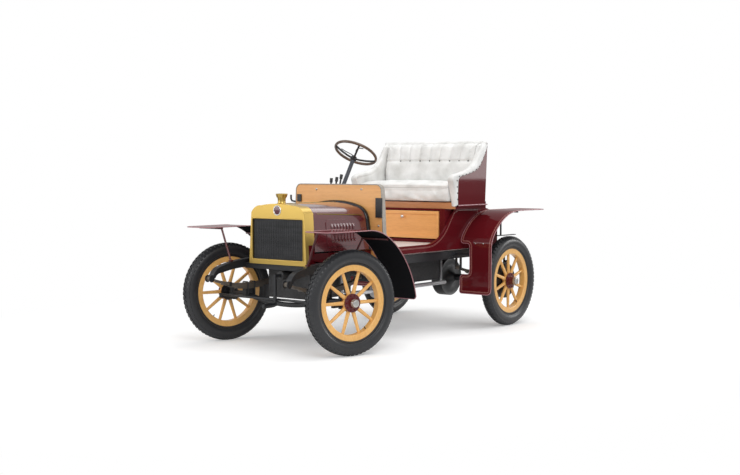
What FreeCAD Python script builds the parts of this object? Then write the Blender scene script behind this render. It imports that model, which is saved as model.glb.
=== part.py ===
import FreeCAD, Part
import math
import os
import re
import Sketcher

# Two-seat touring car of the brass era: open body, wood wheels, brass radiator.
# The frame: X forward, Y to the car's left, Z up, ground at Z = 0, origin in the middle of the length.

SIZES = {
    # Running gear
    "wheelbase": 1950,
    "track": 1170,
    "front_reach": 398,
    "rear_reach": 2345,
    "tyre_outer_radius": 350,
    "tyre_section_radius": 48,
    "rim_radius": 263,
    "rim_wall": 12,
    "rim_width": 56,
    "felloe_depth": 40,
    "felloe_width": 54,
    "felloe_edge": 8,
    "spoke_count": 10,
    "spoke_foot_radius": 14,
    "spoke_tip_radius": 10,
    "wheel_centre_radius": 56,
    "wheel_centre_thickness": 32,
    "hub_flange_radius": 62,
    "hub_flange_thickness": 6,
    "hub_barrel_radius": 36,
    "hub_neck_radius": 29,
    "hub_core_radius": 24,
    "hub_inner_reach": 30,
    "front_hub_reach": 61,
    "rear_hub_reach": 77,
    "hub_cap_radius": 27,
    "hub_cap_length": 20,
    "hub_bore_depth": 68,
    "drum_radius": 137,
    "drum_width": 46,
    "drum_wall": 8,
    "drum_gap": 4,
    "spindle_radius": 14,
    "running_gap": 0.3,
    "seat_gap": 0.3,
    "moving_gap": 5,
    "overrun": 2,
    # Steering gear
    "parked_steer_angle": 15.3,
    "kingpin_inset": 69,
    "kingpin_radius": 9,
    "knuckle_boss_radius": 18,
    "knuckle_boss_height": 70,
    "fork_plate": 14,
    "fork_web": 16,
    "steering_arm_length": 90,
    "steering_arm_width": 20,
    "steering_arm_thickness": 12,
    "steering_arm_drop": 35,
    "track_rod_radius": 9,
    "track_rod_eye_radius": 15,
    "track_rod_eye_height": 20,
    "track_rod_pin_radius": 6,
    # Front axle
    "axle_tube_radius": 17,
    "axle_straight": 70,
    "axle_bend_radius": 260,
    "axle_bend_angle": 15,
    "axle_pad_length": 90,
    # Rear axle
    "rear_tube_radius": 28,
    "rear_tube_end": 500,
    "differential_radius": 150,
    "differential_half_width": 95,
    "differential_face": 45,
    "rear_pad_length": 100,
    "propeller_shaft_radius": 24,
    # Springs
    "spring_width": 36,
    "leaf_thickness": 8,
    "leaf_count": 5,
    "spring_radius": 1290,
    "front_spring_half_span": 382,
    "front_spring_top": 428,
    "rear_spring_half_span": 352,
    "rear_spring_top": 419,
    "spring_eye_radius": 15,
    "leaf_step_share": 0.17,
    "shackle_width": 28,
    "shackle_bolt_radius": 4.2,
    # Frame
    "rail_top": 602,
    "rail_depth": 62,
    "rail_width": 44,
    "rail_wall": 5,
    "rail_centre": 352,
    "rail_rear_setback": 2334,
    "rail_bend_setback": 20,
    "horn_bend_radius": 1200,
    "horn_bend_angle": 15.5,
    "horn_bend_depth": 44,
    "horn_tip_radius": 105,
    "horn_tip_angle": 42,
    "horn_tip_depth": 26,
    "horn_tip_length": 20,
    "horn_cheek_radius": 25,
    "cross_member_depth": 38,
    "cross_member_length": 60,
    "middle_member_setback": 680,
    "seat_member_setback": 1480,
    "rear_member_setback": 2260,
    "front_member_setback": -29,
    # Engine, gearbox and exhaust
    "engine_front_setback": 30,
    "engine_length": 440,
    "crankcase_half_width": 190,
    "crankcase_bottom": 335,
    "crankcase_top": 560,
    "cylinder_half_width": 105,
    "cylinder_top": 880,
    "cylinder_margin": 50,
    "crank_boss_radius": 30,
    "crank_boss_reach": 60,
    "gearbox_front_setback": 1010,
    "gearbox_length": 400,
    "gearbox_tail_length": 120,
    "gearbox_tail_top": 530,
    "gearbox_half_width": 220,
    "gearbox_bottom": 372,
    "gearbox_top": 585,
    "drive_shaft_radius": 32,
    "drive_line": 470,
    "exhaust_radius": 15,
    "exhaust_joint_radius": 19,
    "exhaust_offset": 270,
    "exhaust_line": 352,
    "exhaust_riser_setback": 340,
    "exhaust_riser_offset": 215,
    "exhaust_riser_height": 640,
    "exhaust_rear_setback": 1530,
    "silencer_radius": 48,
    "silencer_front_setback": 640,
    "silencer_length": 330,
    "exhaust_strap_half_width": 6,
    # Radiator
    "radiator_front": 89,
    "radiator_depth": 94,
    "radiator_bottom": 575,
    "radiator_top": 990,
    "radiator_bottom_half_width": 262,
    "radiator_shoulder_half_width": 241,
    "radiator_rim_depth": 30,
    "radiator_flange_bottom": 714,
    "radiator_shoulder_height": 926,
    "radiator_crown_half_width": 150,
    "radiator_crown_height": 977,
    "radiator_corner_radius": 95,
    "core_half_width": 229,
    "core_bottom": 608,
    "core_top": 886,
    "core_recess": 12,
    "filler_radius": 23,
    "filler_flange_radius": 35,
    "filler_height": 1059,
    "filler_cap_height": 22,
    "badge_radius": 36,
    "badge_height": 945,
    "badge_thickness": 4,
    # Starting crank
    "crank_line": 500,
    "crank_shaft_radius": 11,
    "crank_arm_front": 121,
    "crank_arm_thickness": 14,
    "crank_arm_width": 22,
    "crank_throw": 196,
    "crank_handle_length": 112,
    "crank_handle_radius": 13,
    # Bonnet
    "bonnet_wall": 4,
    "bonnet_front_setback": 12,
    "bonnet_rear_setback": 515,
    "bonnet_bottom": 660,
    "bonnet_hinge_radius": 4,
    "bonnet_hinge_offset": 12,
    "bonnet_hinge_gap": 0.6,
    "bonnet_hinge_height": 988,
    "bonnet_front_crown_radius": 560,
    "bonnet_front_crown_angle": 15,
    "bonnet_front_shoulder_radius": 95,
    "bonnet_front_shoulder_angle": 70,
    "bonnet_front_side": 222,
    "bonnet_rear_crown_radius": 640,
    "bonnet_rear_crown_angle": 17.5,
    "bonnet_rear_shoulder_radius": 115,
    "bonnet_rear_shoulder_angle": 64,
    "bonnet_rear_side": 207,
    # Side aprons
    "apron_wall": 4,
    "apron_bottom": 582,
    "apron_front_offset": 246,
    "apron_rear_offset": 300,
    "apron_ledge": 338,
    # Dashboard
    "dash_setback": 556,
    "dash_thickness": 35,
    "dash_top": 1116,
    "dash_half_width": 420,
    "dash_top_half_width": 397,
    "dash_corner_radius": 45,
    # Body
    "body_half_width": 402,
    "body_wall": 18,
    "sill_bottom": 613,
    "sill_top": 667,
    "sweep_start_setback": 1100,
    "sweep_lower_radius": 330,
    "sweep_angle": 52,
    "sweep_upper_radius": 90,
    "tail_setback": 2080,
    "tail_top": 862,
    "deck_step": 11,
    "deck_front_setback": 1836,
    "deck_break_setback": 2003,
    "deck_break_height": 890,
    "floor_top": 660,
    "floor_board": 20,
    "bearer_width": 34,
    "box_front_setback": 1360,
    "box_rear_setback": 1800,
    "box_wall": 16,
    "door_half_width": 330,
    "door_bottom": 695,
    "door_top": 905,
    "door_pin_radius": 3,
    "knob_radius": 9,
    "knob_length": 20,
    "knob_drop": 45,
    # Seat
    "seat_board_bottom": 923,
    "seat_board_thickness": 50,
    "seat_board_front_setback": 1377,
    "seat_half_width": 470,
    "tub_wall": 14,
    "tub_lap": 35,
    "tub_front_low_setback": 1397,
    "arm_front_setback": 1318,
    "arm_front_rise": 167,
    "arm_top_setback": 1352,
    "arm_top_rise": 195,
    "wing_knee_setback": 1618,
    "wing_knee_rise": 251,
    "back_top_setback": 1782,
    "back_top_rise": 454,
    "back_foot_setback": 1752,
    "back_wall": 14,
    "wing_bow_share": 0.103,
    "arm_bow_share": 0.038,
    "arm_nose_bow_share": 0.219,
    "squab_thickness": 88,
    "squab_drop": 12,
    "squab_nose_radius": 40,
    "arm_pad_thickness": 35,
    "arm_roll_rise": 36,
    "cushion_front_setback": 1335,
    "cushion_edge_rise": 132,
    "cushion_crown_radius": 1600,
    "cushion_corner_radius": 28,
    # Fenders
    "fender_sheet": 4,
    "front_fender_tip": 321,
    "front_fender_height": 824,
    "front_fender_inner": 424,
    "front_fender_outer": 668,
    "front_fender_flat": 401,
    "front_fender_bend_radius": 420,
    "front_fender_bend_angle": 31,
    "front_fender_sweep_radius": 660,
    "front_fender_sweep_angle": 48,
    "rear_fender_inner": 420,
    "rear_fender_outer": 700,
    "rear_fender_foot_setback": 1497,
    "rear_fender_foot_height": 279,
    "rear_fender_foot_radius": 100,
    "rear_fender_foot_angle": 35,
    "rear_fender_rise": 282,
    "rear_fender_bend_radius": 170,
    "rear_fender_bend_angle": 38,
    "rear_fender_sweep_radius": 472,
    "rear_fender_flat": 416,
    "rear_fender_notch_inner": 508,
    "rear_fender_notch_bottom": 420,
    "rear_fender_notch_top": 660,
    "rear_fender_notch_radius": 30,
    "fender_tip_radius": 60,
    "fender_foot_radius": 28,
    "stay_radius": 7,
    "front_stay_reach": 180,
    "stay_foot": 24,
    "stay_foot_height": 10,
    "apron_iron_height": 575,
    "rear_stay_setback": 1974,
    "rear_stay_offset": 500,
    "rear_bar_height": 700,
    "rear_bar_front_setback": 1924,
    "rear_bar_rear_setback": 2184,
    "rear_bar_width": 26,
    "rear_bar_thickness": 6,
    # Steering wheel and column
    "wheel_setback": 1041,
    "wheel_height": 1347,
    "wheel_offset": 220,
    "wheel_rim_radius": 162,
    "wheel_grip_radius": 11,
    "wheel_dish": 50,
    "wheel_boss_radius": 24,
    "wheel_boss_height": 34,
    "wheel_spoke_radius": 6,
    "wheel_spoke_count": 4,
    "wheel_spoke_phase": 45,
    "column_radius": 15,
    "column_floor_setback": 610.6,
    "column_clearance": 3,
    "steering_box_height": 90,
    "steering_box_length": 60,
    # Side levers
    "lever_offset": 440,
    "lever_pivot_setback": 960,
    "lever_pivot_height": 575,
    "lever_radius": 7,
    "lever_knob_radius": 12,
    "lever_knob_length": 34,
    "lever_shaft_radius": 12,
    "lever_top_setback": 1034,
    "lever_top_height": 1181,
    "lever_spread": 16,
}

# Places of the three side lever tops: distance behind the front axle and height, as shares.
LEVER_TOP_SHARES = [(1.0, 0.977), (1.046, 0.983), (1.082, 1.0)]

# A pocket that changes a body by less than this volume has run the wrong way.
LEAST_POCKET = 1

# Turns in degrees.
QUARTER_TURN = 90
HALF_TURN = 180
FULL_TURN = 360

doc = FreeCAD.newDocument("BrassEraCar")
sheet = doc.addObject("Spreadsheet::Sheet", "Sizes")
for row, (alias, number) in enumerate(SIZES.items(), start=1):
    sheet.set(f"A{row}", alias)
    sheet.set(f"B{row}", str(number))
    sheet.setAlias(f"B{row}", alias)
doc.recompute()

PARTS = []
FRONT_AXLE = "((rear_reach - front_reach) / 2)"
REAR_AXLE = f"({FRONT_AXLE} - wheelbase)"
HUB_LINE = "tyre_outer_radius"
KINGPIN = "(track / 2 - kingpin_inset)"
BOARD_TOP = "(seat_board_bottom + seat_board_thickness)"
DECK_HEIGHT = "(seat_board_bottom + deck_step)"


def bound(text):
    """Write the size names of an expression as cells of the sheet."""
    return re.sub(r"[a-z]\w*", lambda word: f"Sizes.{word[0]}" if word[0] in SIZES else word[0], str(text))


def size(text):
    """Work out an expression of size names."""
    return float(sheet.evalExpression(bound(text)))


def behind(setback):
    """Place behind the front axle, along X."""
    return f"({FRONT_AXLE} - ({setback}))"


def bind(thing, **entries):
    """Bind properties to expressions of the sheet's sizes."""
    for name, text in entries.items():
        thing.setExpression(name.replace("__", "."), bound(text))


def place(thing, x=0, y=0, z=0, axis=None, angle=0):
    """Put an object at a bound place, turned about an axis by a bound angle."""
    if axis:
        thing.Placement = FreeCAD.Placement(FreeCAD.Vector(), FreeCAD.Rotation(FreeCAD.Vector(axis), 1))
        bind(thing, Placement__Rotation__Angle=angle)
    bind(thing, Placement__Base__x=x, Placement__Base__y=y, Placement__Base__z=z)
    return thing


def node(thing, label):
    """Name a finished sub-part and list it for export."""
    thing.Label = label
    PARTS.append(thing)
    return thing


def new_body(name):
    """Start a body of solid features."""
    return doc.addObject("PartDesign::Body", name)


def origin_item(body, role):
    """Find a plane or an axis of the body's own origin."""
    return next(item for item in body.Origin.OriginFeatures if item.Role == role)


def new_sketch(body, role, level=0):
    """Attach a sketch to an origin plane, shifted along the plane's normal by a bound level."""
    sketch = body.newObject("Sketcher::SketchObject", f"{body.Name}_sketch")
    sketch.AttachmentSupport = [(origin_item(body, role), "")]
    sketch.MapMode = "FlatFace"
    if level:
        bind(sketch, AttachmentOffset__Base__z=level)
    return sketch


def arc_between(start, end, radius):
    """Arc of the shorter way round; it turns left for a positive radius and right for a negative one."""
    chord = end - start
    reach = abs(radius)
    rise = math.sqrt(max(reach * reach - chord.Length * chord.Length / 4, 0))
    left = FreeCAD.Vector(-chord.y, chord.x, 0).normalize()
    centre = (start + end) / 2 + left * math.copysign(rise, radius)
    first, last = (start, end) if radius > 0 else (end, start)
    angles = [math.atan2(point.y - centre.y, point.x - centre.x) for point in (first, last)]
    circle = Part.Circle(centre, FreeCAD.Vector(0, 0, 1), reach)
    return Part.ArcOfCircle(circle, angles[0], angles[1])


def draw(sketch, corners, closed=True):
    """Draw lines and arcs through bound corners: (x, y) or (x, y, radius of the arc that leaves it)."""
    spots = [FreeCAD.Vector(size(corner[0]), size(corner[1]), 0) for corner in corners]
    edges = len(corners) if closed else len(corners) - 1
    ends = []
    for index in range(edges):
        start, end = spots[index], spots[(index + 1) % len(spots)]
        if len(corners[index]) == 3:
            radius = size(corners[index][2])
            edge = sketch.addGeometry(arc_between(start, end, radius))
            ends.append((edge, 1, 2) if radius > 0 else (edge, 2, 1))
            rule = sketch.addConstraint(Sketcher.Constraint("Radius", edge, abs(radius)))
            sketch.setExpression(f"Constraints[{rule}]", bound(f"abs({corners[index][2]})"))
        else:
            edge = sketch.addGeometry(Part.LineSegment(start, end))
            ends.append((edge, 1, 2))
    for index, (edge, first, last) in enumerate(ends):
        follower = ends[(index + 1) % len(ends)]
        if closed or index + 1 < len(ends):
            sketch.addConstraint(Sketcher.Constraint("Coincident", edge, last, follower[0], follower[1]))
        pin(sketch, edge, first, corners[index], spots[index])
    if not closed:
        pin(sketch, ends[-1][0], ends[-1][2], corners[-1], spots[-1])
    return sketch


def pin(sketch, edge, end, corner, spot):
    """Hold one end of an edge at its bound place."""
    for kind, text, value in (("DistanceX", corner[0], spot.x), ("DistanceY", corner[1], spot.y)):
        rule = sketch.addConstraint(Sketcher.Constraint(kind, edge, end, value))
        sketch.setExpression(f"Constraints[{rule}]", bound(text))


def circle(sketch, x, y, radius):
    """Draw a bound circle."""
    spot = FreeCAD.Vector(size(x), size(y), 0)
    edge = sketch.addGeometry(Part.Circle(spot, FreeCAD.Vector(0, 0, 1), size(radius)))
    rule = sketch.addConstraint(Sketcher.Constraint("Radius", edge, size(radius)))
    sketch.setExpression(f"Constraints[{rule}]", bound(radius))
    pin(sketch, edge, 3, (x, y), spot)
    return sketch


def rectangle(sketch, low_x, low_y, high_x, high_y):
    """Draw a bound rectangle."""
    return draw(sketch, [(low_x, low_y), (high_x, low_y), (high_x, high_y), (low_x, high_y)])


def pad(body, sketch, length, midplane=False):
    """Give a sketch a bound thickness along its normal, or to both sides."""
    feature = body.newObject("PartDesign::Pad", f"{body.Name}_pad")
    feature.Profile = sketch
    feature.Midplane = midplane
    bind(feature, Length=length)
    body.Tip = feature
    return feature


def pocket(body, sketch, depth, midplane=False):
    """Cut a sketch to a bound depth and make sure that it took material away."""
    before = body.Shape.Volume
    feature = body.newObject("PartDesign::Pocket", f"{body.Name}_pocket")
    feature.Profile = sketch
    feature.Midplane = midplane
    bind(feature, Length=depth)
    body.Tip = feature
    doc.recompute()
    if abs(body.Shape.Volume - before) < LEAST_POCKET:
        feature.Reversed = not feature.Reversed
        doc.recompute()
    return feature


def turn(body, sketch, role):
    """Turn a sketch right round an axis of the body's origin, or round its own upright axis."""
    feature = body.newObject("PartDesign::Revolution", f"{body.Name}_turned")
    feature.Profile = sketch
    feature.ReferenceAxis = (sketch, [role]) if role == "V_Axis" else (origin_item(body, role), [""])
    feature.Angle = FULL_TURN
    body.Tip = feature
    return feature


def pattern(body, features, role, count):
    """Repeat features in a full ring round an axis of the body's origin."""
    feature = body.newObject("PartDesign::PolarPattern", f"{body.Name}_ring")
    feature.Originals = features
    feature.Axis = (origin_item(body, role), [""])
    feature.Angle = FULL_TURN
    bind(feature, Occurrences=count)
    body.Tip = feature
    return feature


def trail(x, y, heading, legs):
    """Follow straight legs (length,) and tangent bends (radius, turn): corners with the radii leaving them."""
    corners = []
    for leg in legs:
        if len(leg) == 1:
            corners.append((x, y, heading))
            x = f"({x} + ({leg[0]}) * cos({heading}))"
            y = f"({y} + ({leg[0]}) * sin({heading}))"
        else:
            radius, bend = leg
            side = "1" if size(bend) > 0 else "-1"
            after = f"({heading} + {bend})"
            corners.append((x, y, heading, f"{side} * ({radius})"))
            x = f"({x} + {side} * ({radius}) * (sin{after} - sin({heading})))"
            y = f"({y} - {side} * ({radius}) * (cos{after} - cos({heading})))"
            heading = after
    corners.append((x, y, heading))
    return corners


def strip(x, y, heading, legs, depths):
    """Closed outline of a bent strip that lies to the right of its trail, with a depth at each corner."""
    near = trail(x, y, heading, legs)
    far = [
        (f"({spot[0]} + ({depth}) * sin({spot[2]}))", f"({spot[1]} - ({depth}) * cos({spot[2]}))")
        for spot, depth in zip(near, depths)
    ]
    outline = [(spot[0], spot[1]) + tuple(spot[3:]) for spot in near]
    for index in range(len(far) - 1, 0, -1):
        bend = near[index - 1][3:]
        mean = f"(({depths[index]}) + ({depths[index - 1]})) / 2"
        outline.append(far[index] + tuple(f"(-1) * ({radius} + {mean})" for radius in bend))
    outline.append(far[0])
    return outline


def box(name, low, high):
    """Block between two bound corners."""
    block = doc.addObject("Part::Box", name)
    spans = [f"({top}) - ({bottom})" for bottom, top in zip(low, high)]
    bind(block, Length=spans[0], Width=spans[1], Height=spans[2])
    return place(block, *low)


def cylinder(name, radius, height, x, y, z, axis=None, angle=0):
    """Round bar that rises from a bound place along Z, or along a turned direction."""
    bar = doc.addObject("Part::Cylinder", name)
    bind(bar, Radius=radius, Height=height)
    return place(bar, x, y, z, axis, angle)


def rod(name, start, end, radius):
    """Straight round rod between two bound points, in any direction."""
    first = FreeCAD.Vector(*[size(text) for text in start])
    along = FreeCAD.Vector(*[size(text) for text in end]) - first
    bar = doc.addObject("Part::Feature", name)
    bar.Shape = Part.makeCylinder(size(radius), along.Length, first, along)
    return bar


def fuse(name, shapes):
    """Join shapes into one solid."""
    joined = doc.addObject("Part::MultiFuse", name)
    joined.Shapes = shapes
    joined.Refine = True
    return joined


def cut(name, base, tool):
    """Take one shape from another."""
    result = doc.addObject("Part::Cut", name)
    result.Base = base
    result.Tool = tool
    return result


def both_sides(name, half):
    """The piece and its mirror image on the car's other side, as separate solids."""
    image = doc.addObject("Part::Mirroring", f"{name}_image")
    image.Source = half
    image.Normal = (0, 1, 0)
    return compound(name, [half, image])


def compound(name, shapes):
    """Separate solids that share a node."""
    group = doc.addObject("Part::Compound", name)
    group.Links = shapes
    return group


# Wheels


def tyre(name):
    """Round tyre with a flat seat on the rim."""
    body = new_body(name)
    core = "(tyre_outer_radius - tyre_section_radius)"
    half = f"sqrt(tyre_section_radius^2 - ({core} - rim_radius - seat_gap)^2)"
    seat = "(rim_radius + seat_gap)"
    corners = [
        (f"-{half}", seat),
        (half, seat, "tyre_section_radius"),
        (0, "tyre_outer_radius", "tyre_section_radius"),
    ]
    turn(body, draw(new_sketch(body, "YZ_Plane"), corners), "Y_Axis")
    return body


def rim(name):
    """Steel rim band round the felloe."""
    body = new_body(name)
    inner = "(rim_radius - rim_wall + seat_gap)"
    band = rectangle(new_sketch(body, "YZ_Plane"), "-rim_width / 2", inner, "rim_width / 2", "rim_radius")
    turn(body, band, "Y_Axis")
    return body


def wood_wheel(name, first_spoke):
    """Felloe, centre and turned spokes in wood, with the first spoke turned from upright by an angle."""
    body = new_body(name)
    outer = "(rim_radius - rim_wall)"
    inner = f"({outer} - felloe_depth)"
    half = "(felloe_width / 2)"
    corners = [
        (f"{half}", outer),
        (f"-{half}", outer),
        (f"-{half}", f"{inner} + felloe_edge", "felloe_edge"),
        (f"-{half} + felloe_edge", inner),
        (f"{half} - felloe_edge", inner, "felloe_edge"),
        (half, f"{inner} + felloe_edge"),
    ]
    turn(body, draw(new_sketch(body, "YZ_Plane"), corners), "Y_Axis")
    bore = "hub_core_radius + seat_gap"
    edge = "wheel_centre_thickness / 2"
    centre = rectangle(new_sketch(body, "YZ_Plane"), f"-{edge}", bore, edge, "wheel_centre_radius")
    turn(body, centre, "Y_Axis")
    spoke = new_sketch(body, "XZ_Plane")
    spoke.AttachmentOffset = FreeCAD.Placement(FreeCAD.Vector(), FreeCAD.Rotation(FreeCAD.Vector(0, 0, 1), 1))
    bind(spoke, AttachmentOffset__Rotation__Angle=first_spoke)
    foot = "(wheel_centre_radius - spoke_foot_radius)"
    tip = f"({inner} + felloe_edge)"
    draw(spoke, [(0, foot), ("spoke_foot_radius", foot), ("spoke_tip_radius", tip), (0, tip)])
    pattern(body, [turn(body, spoke, "V_Axis")], "Y_Axis", "spoke_count")
    return body


def hub(name, reach, drum):
    """Turned hub with two flanges, a cap and the bore for its spindle; a rear hub carries a brake drum."""
    body = new_body(name)
    face = "(wheel_centre_thickness / 2 + seat_gap)"
    flange = f"({face} + hub_flange_thickness)"
    bore = "(spindle_radius + running_gap)"
    corners = [
        ("-hub_inner_reach", bore),
        ("-hub_inner_reach", "hub_barrel_radius"),
        (f"-{flange}", "hub_barrel_radius"),
        (f"-{flange}", "hub_flange_radius"),
        (f"-{face}", "hub_flange_radius"),
        (f"-{face}", "hub_core_radius"),
        (face, "hub_core_radius"),
        (face, "hub_flange_radius"),
        (flange, "hub_flange_radius"),
        (flange, "hub_barrel_radius"),
        (f"{reach} - hub_cap_length", "hub_neck_radius"),
        (f"{reach} - hub_cap_length", "hub_cap_radius"),
        (reach, "hub_cap_radius"),
        (reach, 0),
        ("hub_bore_depth - hub_inner_reach", 0),
        ("hub_bore_depth - hub_inner_reach", bore),
    ]
    if drum:
        back = f"(-{flange} - drum_width)"
        front = f"(-{flange})"
        corners[0:4] = [
            (f"{front} - drum_wall", bore),
            (f"{front} - drum_wall", "drum_radius - drum_wall"),
            (back, "drum_radius - drum_wall"),
            (back, "drum_radius"),
            (front, "drum_radius"),
            (front, "hub_flange_radius"),
        ]
    turn(body, draw(new_sketch(body, "YZ_Plane"), corners), "Y_Axis")
    return body


def make_wheels():
    """Four road wheels, the front pair turned by the parked steering angle about their kingpins."""
    swing_x = "kingpin_inset * sin(parked_steer_angle)"
    swing_y = "kingpin_inset * cos(parked_steer_angle)"
    corners = {
        "front_left": (f"{FRONT_AXLE} + {swing_x}", f"{KINGPIN} + {swing_y}", "-parked_steer_angle"),
        "front_right": (f"{FRONT_AXLE} - {swing_x}", f"-{KINGPIN} - {swing_y}", f"{HALF_TURN} - parked_steer_angle"),
        "rear_left": (REAR_AXLE, "track / 2", 0),
        "rear_right": (REAR_AXLE, "-track / 2", HALF_TURN),
    }
    for corner, (x, y, angle) in corners.items():
        rear = corner.startswith("rear")
        reach = "rear_hub_reach" if rear else "front_hub_reach"
        first_spoke = "0" if rear else f"{HALF_TURN} / spoke_count"
        pieces = [
            node(tyre(f"tyre_{corner}"), f"tyre_{corner}"),
            node(rim(f"rim_{corner}"), f"rim_{corner}"),
            node(wood_wheel(f"wood_wheel_{corner}", first_spoke), f"wood_wheel_{corner}"),
            node(hub(f"hub_{corner}", reach, rear), f"hub_{corner}"),
        ]
        for piece in pieces:
            place(piece, x, y, HUB_LINE, (0, 0, 1), angle)


# Steering knuckles and track rod


def knuckle(side, sign):
    """Kingpin boss, wheel spindle and forward steering arm, turned with the parked wheels."""
    name = f"knuckle_{side}"
    foot = "(-knuckle_boss_height / 2)"
    low = "(-steering_arm_drop)"
    high = f"({low} + steering_arm_thickness)"
    half = "steering_arm_width / 2"
    reach = "kingpin_inset + hub_bore_depth - hub_inner_reach - moving_gap"
    pin_height = "steering_arm_thickness + seat_gap + track_rod_eye_height"
    end = "steering_arm_length"
    pieces = [
        cylinder(f"{name}_boss", "knuckle_boss_radius", "knuckle_boss_height", 0, 0, foot),
        cylinder(f"{name}_spindle", "spindle_radius", reach, 0, 0, 0, (1, 0, 0), -QUARTER_TURN * sign),
        box(f"{name}_arm", (0, f"-{half}", low), (end, half, high)),
        cylinder(f"{name}_eye", "track_rod_eye_radius", "steering_arm_thickness", end, 0, low),
        cylinder(f"{name}_pin", "track_rod_pin_radius", pin_height, end, 0, low),
    ]
    bore_height = "knuckle_boss_height + 2 * overrun"
    bore_radius = "kingpin_radius + running_gap"
    bore = cylinder(f"{name}_bore", bore_radius, bore_height, 0, 0, f"{foot} - overrun")
    piece = node(cut(f"{name}_bored", fuse(f"{name}_whole", pieces), bore), name)
    place(piece, FRONT_AXLE, f"{sign} * {KINGPIN}", HUB_LINE, (0, 0, 1), "-parked_steer_angle")


def track_rod():
    """Rod that joins the two steering arms, with an eye over each arm's pin."""
    x = f"({FRONT_AXLE} + steering_arm_length * cos(parked_steer_angle))"
    shift = "(steering_arm_length * sin(parked_steer_angle))"
    low = f"({HUB_LINE} - steering_arm_drop + steering_arm_thickness + seat_gap)"
    middle = f"({low} + track_rod_eye_height / 2)"
    ends = [f"({KINGPIN} - {shift})", f"(-{KINGPIN} - {shift})"]
    length = f"2 * {KINGPIN}"
    bar = cylinder("track_rod_bar", "track_rod_radius", length, x, ends[1], middle, (1, 0, 0), -QUARTER_TURN)
    low_cut = f"{low} - overrun"
    high_cut = "track_rod_eye_height + 2 * overrun"
    eyes = []
    bores = []
    for index, y in enumerate(ends):
        eyes.append(cylinder(f"track_rod_eye_{index}", "track_rod_eye_radius", "track_rod_eye_height", x, y, low))
        bore_radius = "track_rod_pin_radius + running_gap"
        bores.append(cylinder(f"track_rod_bore_{index}", bore_radius, high_cut, x, y, low_cut))
    whole = fuse("track_rod_whole", [bar] + eyes)
    node(cut("track_rod_bored", whole, fuse("track_rod_bores", bores)), "track_rod")


# Axles and springs


def pipe(body, path, profile):
    """Run a profile along a path."""
    feature = body.newObject("PartDesign::AdditivePipe", f"{body.Name}_pipe")
    feature.Profile = profile
    feature.Spine = path
    body.Tip = feature
    return feature


def front_axle():
    """Dished tube with a fork and a kingpin at each end and a pad under each spring."""
    body = new_body("front_axle_tube")
    web_outer = f"({KINGPIN} - knuckle_boss_radius - moving_gap)"
    start = f"({web_outer} - fork_web / 2)"
    middle = f"({start} - axle_straight - axle_bend_radius * sin(axle_bend_angle))"
    dish = f"({middle} / sin(axle_bend_angle))"
    legs = [
        ("axle_straight",),
        ("axle_bend_radius", "axle_bend_angle"),
        (dish, "-2 * axle_bend_angle"),
        ("axle_bend_radius", "axle_bend_angle"),
        ("axle_straight",),
    ]
    corners = [(spot[0], spot[1]) + tuple(spot[3:]) for spot in trail(start, HUB_LINE, HALF_TURN, legs)]
    path = draw(new_sketch(body, "YZ_Plane"), corners, closed=False)
    profile = circle(new_sketch(body, "XZ_Plane", f"-{start}"), 0, HUB_LINE, "axle_tube_radius")
    pipe(body, path, profile)
    place(body, FRONT_AXLE)
    half = "(knuckle_boss_height / 2 + seat_gap)"
    pieces = [body]
    for sign in (1, -1):
        side = "left" if sign > 0 else "right"
        edges = sorted([f"{sign} * {web_outer}", f"{sign} * ({web_outer} - fork_web)"], key=size)
        plates = sorted([f"{sign} * ({web_outer} - fork_web)", f"{sign} * {KINGPIN}"], key=size)
        low = f"({HUB_LINE} - {half} - fork_plate)"
        high = f"({HUB_LINE} + {half} + fork_plate)"
        front = f"({FRONT_AXLE} + fork_web)"
        back = f"({FRONT_AXLE} - fork_web)"
        pieces += [
            box(f"fork_web_{side}", (back, edges[0], low), (front, edges[1], high)),
            box(f"fork_low_{side}", (back, plates[0], low), (front, plates[1], f"{low} + fork_plate")),
            box(f"fork_high_{side}", (back, plates[0], f"{high} - fork_plate"), (front, plates[1], high)),
            cylinder(f"fork_low_eye_{side}", "fork_web", "fork_plate", FRONT_AXLE, f"{sign} * {KINGPIN}", low),
            cylinder(f"fork_high_eye_{side}", "fork_web", "fork_plate",
                     FRONT_AXLE, f"{sign} * {KINGPIN}", f"{high} - fork_plate"),
            cylinder(f"kingpin_{side}", "kingpin_radius", f"{high} - {low}", FRONT_AXLE, f"{sign} * {KINGPIN}", low),
            spring_pad(f"front_pad_{side}", FRONT_AXLE, sign, "axle_pad_length", "front_spring_top"),
        ]
    node(fuse("front_axle_whole", pieces), "front_axle")


def spring_pad(name, x, sign, length, top):
    """Block between an axle and the bottom leaf of its spring."""
    half = "spring_width / 2"
    low = (f"{x} - ({length}) / 2", f"{sign} * rail_centre - {half}", f"{HUB_LINE} - leaf_thickness")
    high = (f"{x} + ({length}) / 2", f"{sign} * rail_centre + {half}",
            f"{top} - leaf_count * leaf_thickness - seat_gap")
    return box(name, low, high)


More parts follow.
